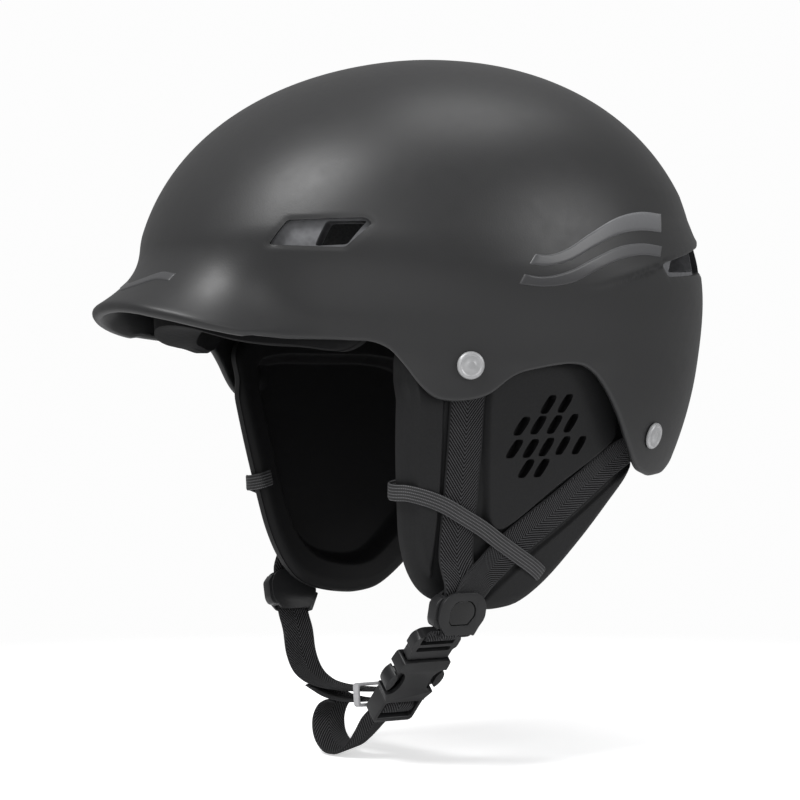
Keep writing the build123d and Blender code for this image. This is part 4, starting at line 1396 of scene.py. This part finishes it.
# ------------------------------------------------------------------ buckle
HINGE_X, HINGE_Y = -2.6, 7.4
# Outlines of the prong on the +Y side, in the buckle's x and y
PRONG_ARM = [(-1.6, 6.1), (6, 6.2), (12, 7.4), (17.5, 8.6), (20, 8.8), (20.3, 11.2),
             (19, 12.9), (15.6, 14), (11.2, 13.9), (8.2, 12.5), (7.8, 10.4), (5, 8.9),
             (-1.6, 8.9)]
PRONG_ARM_RADII = [0.5, 2, 3, 2, 0.6, 1.5, 2, 3, 3, 2, 1.5, 2, 0.5]
PRONG_BUTTON = [(8.3, 12.4), (9.6, 11.2), (12.2, 10.4), (16, 10.4), (18.8, 11.5),
                (19.7, 12.7), (17.4, 14.1), (14, 14.7), (10.6, 14.1)]
HINGE_BARREL = [(0.02, -1.7), (1.6, -1.7), (1.8, -1.5), (1.8, 1.5), (1.6, 1.7),
                (0.02, 1.7)]  # radius, height


def build_male():
    length = 16.5
    half = [(-length, -8.6), (-length + 3, -12), (-7.4, -12), (-6.2, -10.6), (-0.6, -10.6)]
    outline = round_polygon(half + [(x, -y) for x, y in half[::-1]],
                            [2, 2, 1, 1, 0.5, 0.5, 1, 1, 2, 2])
    male = plate(BUCKLE, outline, -2.6, 2.6, BUCKLE_PLASTIC)
    # two webbing windows, then a round seat and a mouth for each prong
    cutters = [plate(BUCKLE, round_polygon(rectangle(-length + start, -length + end, 8.7),
                                           0.7, 3), -6, 6)
               for start, end in ((2.2, 6.2), (8.0, 10.8))]
    turn = np.linspace(0, 2 * np.pi, 28, endpoint=False)
    seat = np.stack([1.9 * np.cos(turn), 1.9 * np.sin(turn)], -1)
    for side in (-1, 1):
        hinge = BUCKLE._replace(origin=BUCKLE.at(HINGE_X, side * HINGE_Y, 0))
        mouth = [(-3.6, side * 5.2), (0.6, side * 5.0), (0.6, side * 9.8),
                 (-3.6, side * 9.6)]
        cutters += [plate(hinge, seat, -1.95, 1.95), plate(BUCKLE, mouth, -1.95, 1.95)]
    for cutter in cutters:
        cut(male, [cutter])
    bevel(male, 0.5, angle=35)
    guide = plate(BUCKLE, [(-0.9, -1.6), (20, -1.6), (21, -0.8), (21, 0.8), (20, 1.6),
                           (-0.9, 1.6)], -1.6, 1.6, BUCKLE_PLASTIC, edge=0.35)
    male = join("buckle_male_body", [male, guide], sharp_angle=40)
    register(male, "buckle_male", "buckle_male_frame", "buckle_plastic")


def build_prongs():
    for name, side in (("front", -1), ("rear", 1)):
        flip = np.array([1, side])
        arm = plate(BUCKLE, round_polygon(PRONG_ARM, PRONG_ARM_RADII) * flip, -1.7, 1.7,
                    BUCKLE_PLASTIC, edge=0.45)
        button = plate(BUCKLE, round_polygon(PRONG_BUTTON, 2.0) * flip, -3.5, 3.5,
                       BUCKLE_PLASTIC, edge=0.9, segments=4)
        barrel = lathe(BUCKLE.at(HINGE_X, side * HINGE_Y, 0), BUCKLE.z, HINGE_BARREL,
                       BUCKLE_PLASTIC, 28)
        prong = join("buckle_prong_%s_arm" % name, [arm, button, barrel], sharp_angle=40)
        register(prong, "prong_" + name, "buckle_prong_" + name, "buckle_plastic")


def build_female():
    width, depth = 12.5, 4.2  # half sizes
    half = [(0.2, -width + 0.6), (1.4, -width), (5, -width - 0.3), (22, -width),
            (26.5, -width + 2.2), (27.4, -width + 2)]
    outline = round_polygon(half + [(x, -y) for x, y in half[::-1]], 1.0, 4)
    female = plate(BUCKLE, outline, -depth, depth, BUCKLE_PLASTIC)
    cutters = [plate(BUCKLE, rectangle(-2, 24, width - 1.6), -2.3, 2.3)]
    window = round_polygon(
        [(6.6, width - 1.4), (7.8, width - 3.7), (11, width - 5.3), (16.8, width - 5.4),
         (20.6, width - 3.8), (21.6, width - 1), (21.2, width + 3.5), (7, width + 3.5)],
        [1, 2, 3, 3, 2, 1, 0.3, 0.3])
    for side in (-1, 1):
        cutters.append(plate(BUCKLE, window * np.array([1, side]), -depth - 2, depth + 2))
    for cutter in cutters:
        cut(female, [cutter])
    bevel(female, 0.7, angle=40)
    # end frame round the webbing window, with a bar across it
    end_width = 10.4
    end = plate(BUCKLE, round_polygon(
        [(26.2, -end_width), (40.4, -end_width), (42, -end_width + 1.2),
         (42, end_width - 1.2), (40.4, end_width), (26.2, end_width)], 0.9, 4),
        -depth - 1.2, depth - 0.2, BUCKLE_PLASTIC)
    cut(end, [plate(BUCKLE, round_polygon(rectangle(28.4, 39.2, 8.8), 0.8, 3),
                    -depth - 3, depth + 3)])
    bevel(end, 0.6, angle=40)
    bar = plate(BUCKLE, round_polygon(rectangle(33.0, 35.2, 9.3), 0.5, 3), -1.4, 1.4,
                BUCKLE_PLASTIC, edge=0.4)
    female = join("buckle_female_body", [female, end, bar], sharp_angle=40)
    register(female, "chin_strap", "buckle_female", "buckle_plastic")


# ------------------------------------------------------------------ chin webbing
# Middle of the chin webbing and of its return layer: x, z
CHIN_PATH = [
    (-64.4, -149), (-61.2, -160), (-55.5, -167.2), (-46.5, -171.2), (-34, -172.8),
    (-20, -172.7), (-8, -172.1), (2, -171.3), (10, -170.6), (16.6, -170), (20.2, -171.2)]
RETURN_PATH = [(-44, -173.4), (-38, -174.9), (-28, -177), (-12, -177.4), (2, -176),
               (10, -174.9), (14.6, -175), (17, -176.6)]
# Ends inside the buckle: x, z in its frame
LEFT_END = [(-18.6, 2.6), (-14.6, 3.2), (-12.2, 0.2), (-10.4, -2.4), (-7.6, -2.2),
            (-6.8, 0.6)]
CHIN_END = [(31, 0.6), (32, 2.4), (34.2, 2.9), (36.6, 2), (37.2, -0.4)]
RETURN_END = [(37.0, -2.4)]
DIVIDER_STATIONS = 1.5, 6, 11  # distances down from the divider's middle
# Loose end: centre x, y, z and width direction x, y, z
TAIL = np.array([
    (12.5, -33, -178.4, 0, 1, 0), (6, -33.4, -183, 0, 1, 0.05),
    (-0.5, -33.6, -189, -0.1, 1, 0.12), (-8, -34, -195.4, -0.15, 1, 0.2),
    (-17, -34.4, -200.2, -0.1, 1, 0.22), (-27, -34, -200.2, 0.05, 1, 0.2),
    (-35.5, -33, -195, 0.1, 1, 0.12), (-38.2, -31.8, -188, 0.1, 1, 0.05),
    (-35, -31, -181.6, 0.05, 1, 0), (-27, -31.4, -178.9, 0, 1, 0),
    (-20, -32, -178.9, 0, 1, 0)])


def level_strap(name, start, path, buckle_end, thickness):
    """Webbing in the plane of the buckle: start points, (x, z) path, end in the buckle."""
    centres = np.array([*start, *((x, STRAP_Y, z) for x, z in path),
                        *(BUCKLE.at(x, 0, z) for x, z in buckle_end)])
    return strap(name, centres, np.repeat(Y_AXIS[None], len(centres), 0), CHIN_WEB_WIDTH,
                 thickness, WEBBING, step=0.8)


def build_chin_webbing():
    left_start = [DIVIDER.at(0, down, 0) for down in DIVIDER_STATIONS]
    right_start = [point * (-1, 1, 1) for point in left_start]
    short = level_strap("left_short_webbing", left_start, [], LEFT_END, 1.4)
    register(short, "buckle_male", "left_short_web", "webbing")
    chin = level_strap("chin_webbing", right_start, CHIN_PATH, CHIN_END, 1.5)
    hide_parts("chin_web")
    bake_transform(chin)
    back = level_strap("chin_webbing_return", [], RETURN_PATH, RETURN_END, 1.5)
    register(back, "chin_strap", "chin_web_return", "webbing")
    tail = strap("webbing_tail", TAIL[:, :3], TAIL[:, 3:], CHIN_WEB_WIDTH, 1.5, WEBBING,
                 step=0.8)
    register(tail, "chin_strap", "tail_loop", "webbing")


def build_keeper():
    """Rectangular ring round the chin webbing."""
    frame = Frame(np.array([3.5, STRAP_Y, -173.2]), Y_AXIS,
                  direction((-1.4, 0, 14.0)), direction((14.0, 0, 1.4)))
    keeper = plate(frame, round_polygon(rectangle(-10.3, 10.3, 5.4), 1.8, 6), -2, 2,
                   KEEPER_RUBBER, name="webbing_keeper")
    cut(keeper, [plate(frame, round_polygon(rectangle(-8.8, 8.8, 4.0), 0.9), -4, 4)])
    bevel(keeper, 0.45, angle=40)
    register(keeper, "keeper", "strap_keeper", "keeper_rubber")


# ------------------------------------------------------------------ stage (metres)
def floor_material():
    """Pale floor, lifted towards white for the camera and fading out with distance."""
    nodes = material_nodes("floor_pale")
    base = nodes.add("BsdfPrincipled", {
        "Base Color": nodes.ramp(nodes.noise(scale=3, detail=3),
                                 [(0.3, (0.86, 0.86, 0.865)), (0.7, (0.90, 0.90, 0.905))]),
        "Roughness": 0.9,
        "Specular IOR Level": 0.1})
    camera_glow = nodes.add("MixShader", {
        0: nodes.add("LightPath", output="Is Camera Ray"),
        1: nodes.add("Emission", {"Strength": 0.0}),
        2: nodes.add("Emission", {"Color": (1, 1, 1, 1), "Strength": 0.50})})
    distance = nodes.add("VectorMath", {0: nodes.coords()}, output="Value",
                         operation="LENGTH")
    fade = nodes.map_range(distance, 0.22, 0.62, interpolation_type="SMOOTHSTEP")
    return nodes.finish(nodes.add("MixShader", {
        0: fade,
        1: nodes.add("AddShader", {0: base, 1: camera_glow}),
        2: nodes.add("BsdfTransparent")}))


def build_floor():
    lowest = min(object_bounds()[0][2], cad_box[0][2])
    reach = 6000.0
    corners = np.array([(-reach, -reach, 0), (reach, -reach, 0), (reach, reach, 0),
                        (-reach, reach, 0)])
    floor = mesh_object("studio_floor", corners, [(0, 1, 2, 3)], None, smooth=False)
    floor.location.z = lowest - 0.0006
    floor.data.materials.append(floor_material())
    floor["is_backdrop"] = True


def build_world():
    """White surroundings, dim as a light and bright to the camera."""
    scene = bpy.context.scene
    scene.world = scene.world or bpy.data.worlds.new("World")
    nodes = Nodes(scene.world)
    light, backdrop = (nodes.add("Background", {0: (1.0, 1.0, 1.0, 1), 1: strength})
                       for strength in (0.34, 0.98))
    camera_ray = nodes.add("LightPath", output="Is Camera Ray")
    nodes.finish(nodes.add("MixShader", {0: camera_ray, 1: light, 2: backdrop}),
                 "OutputWorld")
    scene.view_settings.view_transform = "Standard"


def aim(obj, location, target):
    obj.location = location
    toward = Vector(target) - obj.location
    obj.rotation_euler = toward.to_track_quat("-Z", "Y").to_euler()


def area_light(name, *, location, target, size, power):
    light = bpy.data.lights.new(name, "AREA")
    light.energy = power
    light.shape = "RECTANGLE"
    light.size = size
    light.size_y = size
    aim(link_object(name, light), location, target)


def build_lights():
    area_light("key", location=(0.22, -1.05, 1.22), target=(0, -0.02, 0.02), size=0.80,
               power=25)
    area_light("top", location=(0.2, 0.3, 1.3), target=(0, 0, 0), size=0.8, power=6)
    area_light("side", location=(1.2, 0.75, 0.35), target=(0, 0, -0.03), size=0.5, power=6)
    area_light("fill", location=(1.1, -0.8, 0.25), target=(0, 0, -0.08), size=0.7, power=3)


def build_camera():
    """Camera at the front left, almost level."""
    azimuth, elevation, distance = math.radians(57), math.radians(0.6), 1.250
    target = Vector((0, -0.017, -0.0402))
    away = Vector((math.sin(azimuth) * math.cos(elevation),
                   -math.cos(azimuth) * math.cos(elevation), math.sin(elevation)))
    camera = bpy.data.cameras.new("cam")
    obj = link_object("cam", camera)
    aim(obj, target + away * distance, target)
    camera.sensor_width = 36.0
    camera.lens = 123.075
    camera.clip_start = 0.05
    camera.clip_end = 50
    bpy.context.scene.camera = obj


build_shell()
build_liner()
build_comfort_pads()
build_ear_pads()
build_side_straps()
build_rivets()
build_badges()
build_dividers()
build_male()
build_prongs()
build_female()
build_chin_webbing()
build_keeper()
build_floor()
build_world()
build_lights()
build_camera()

boxes = {"cad": cad_box, "visual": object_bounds()}
({key: [list(map(float, corner)) for corner in box]
           for key, box in boxes.items()})
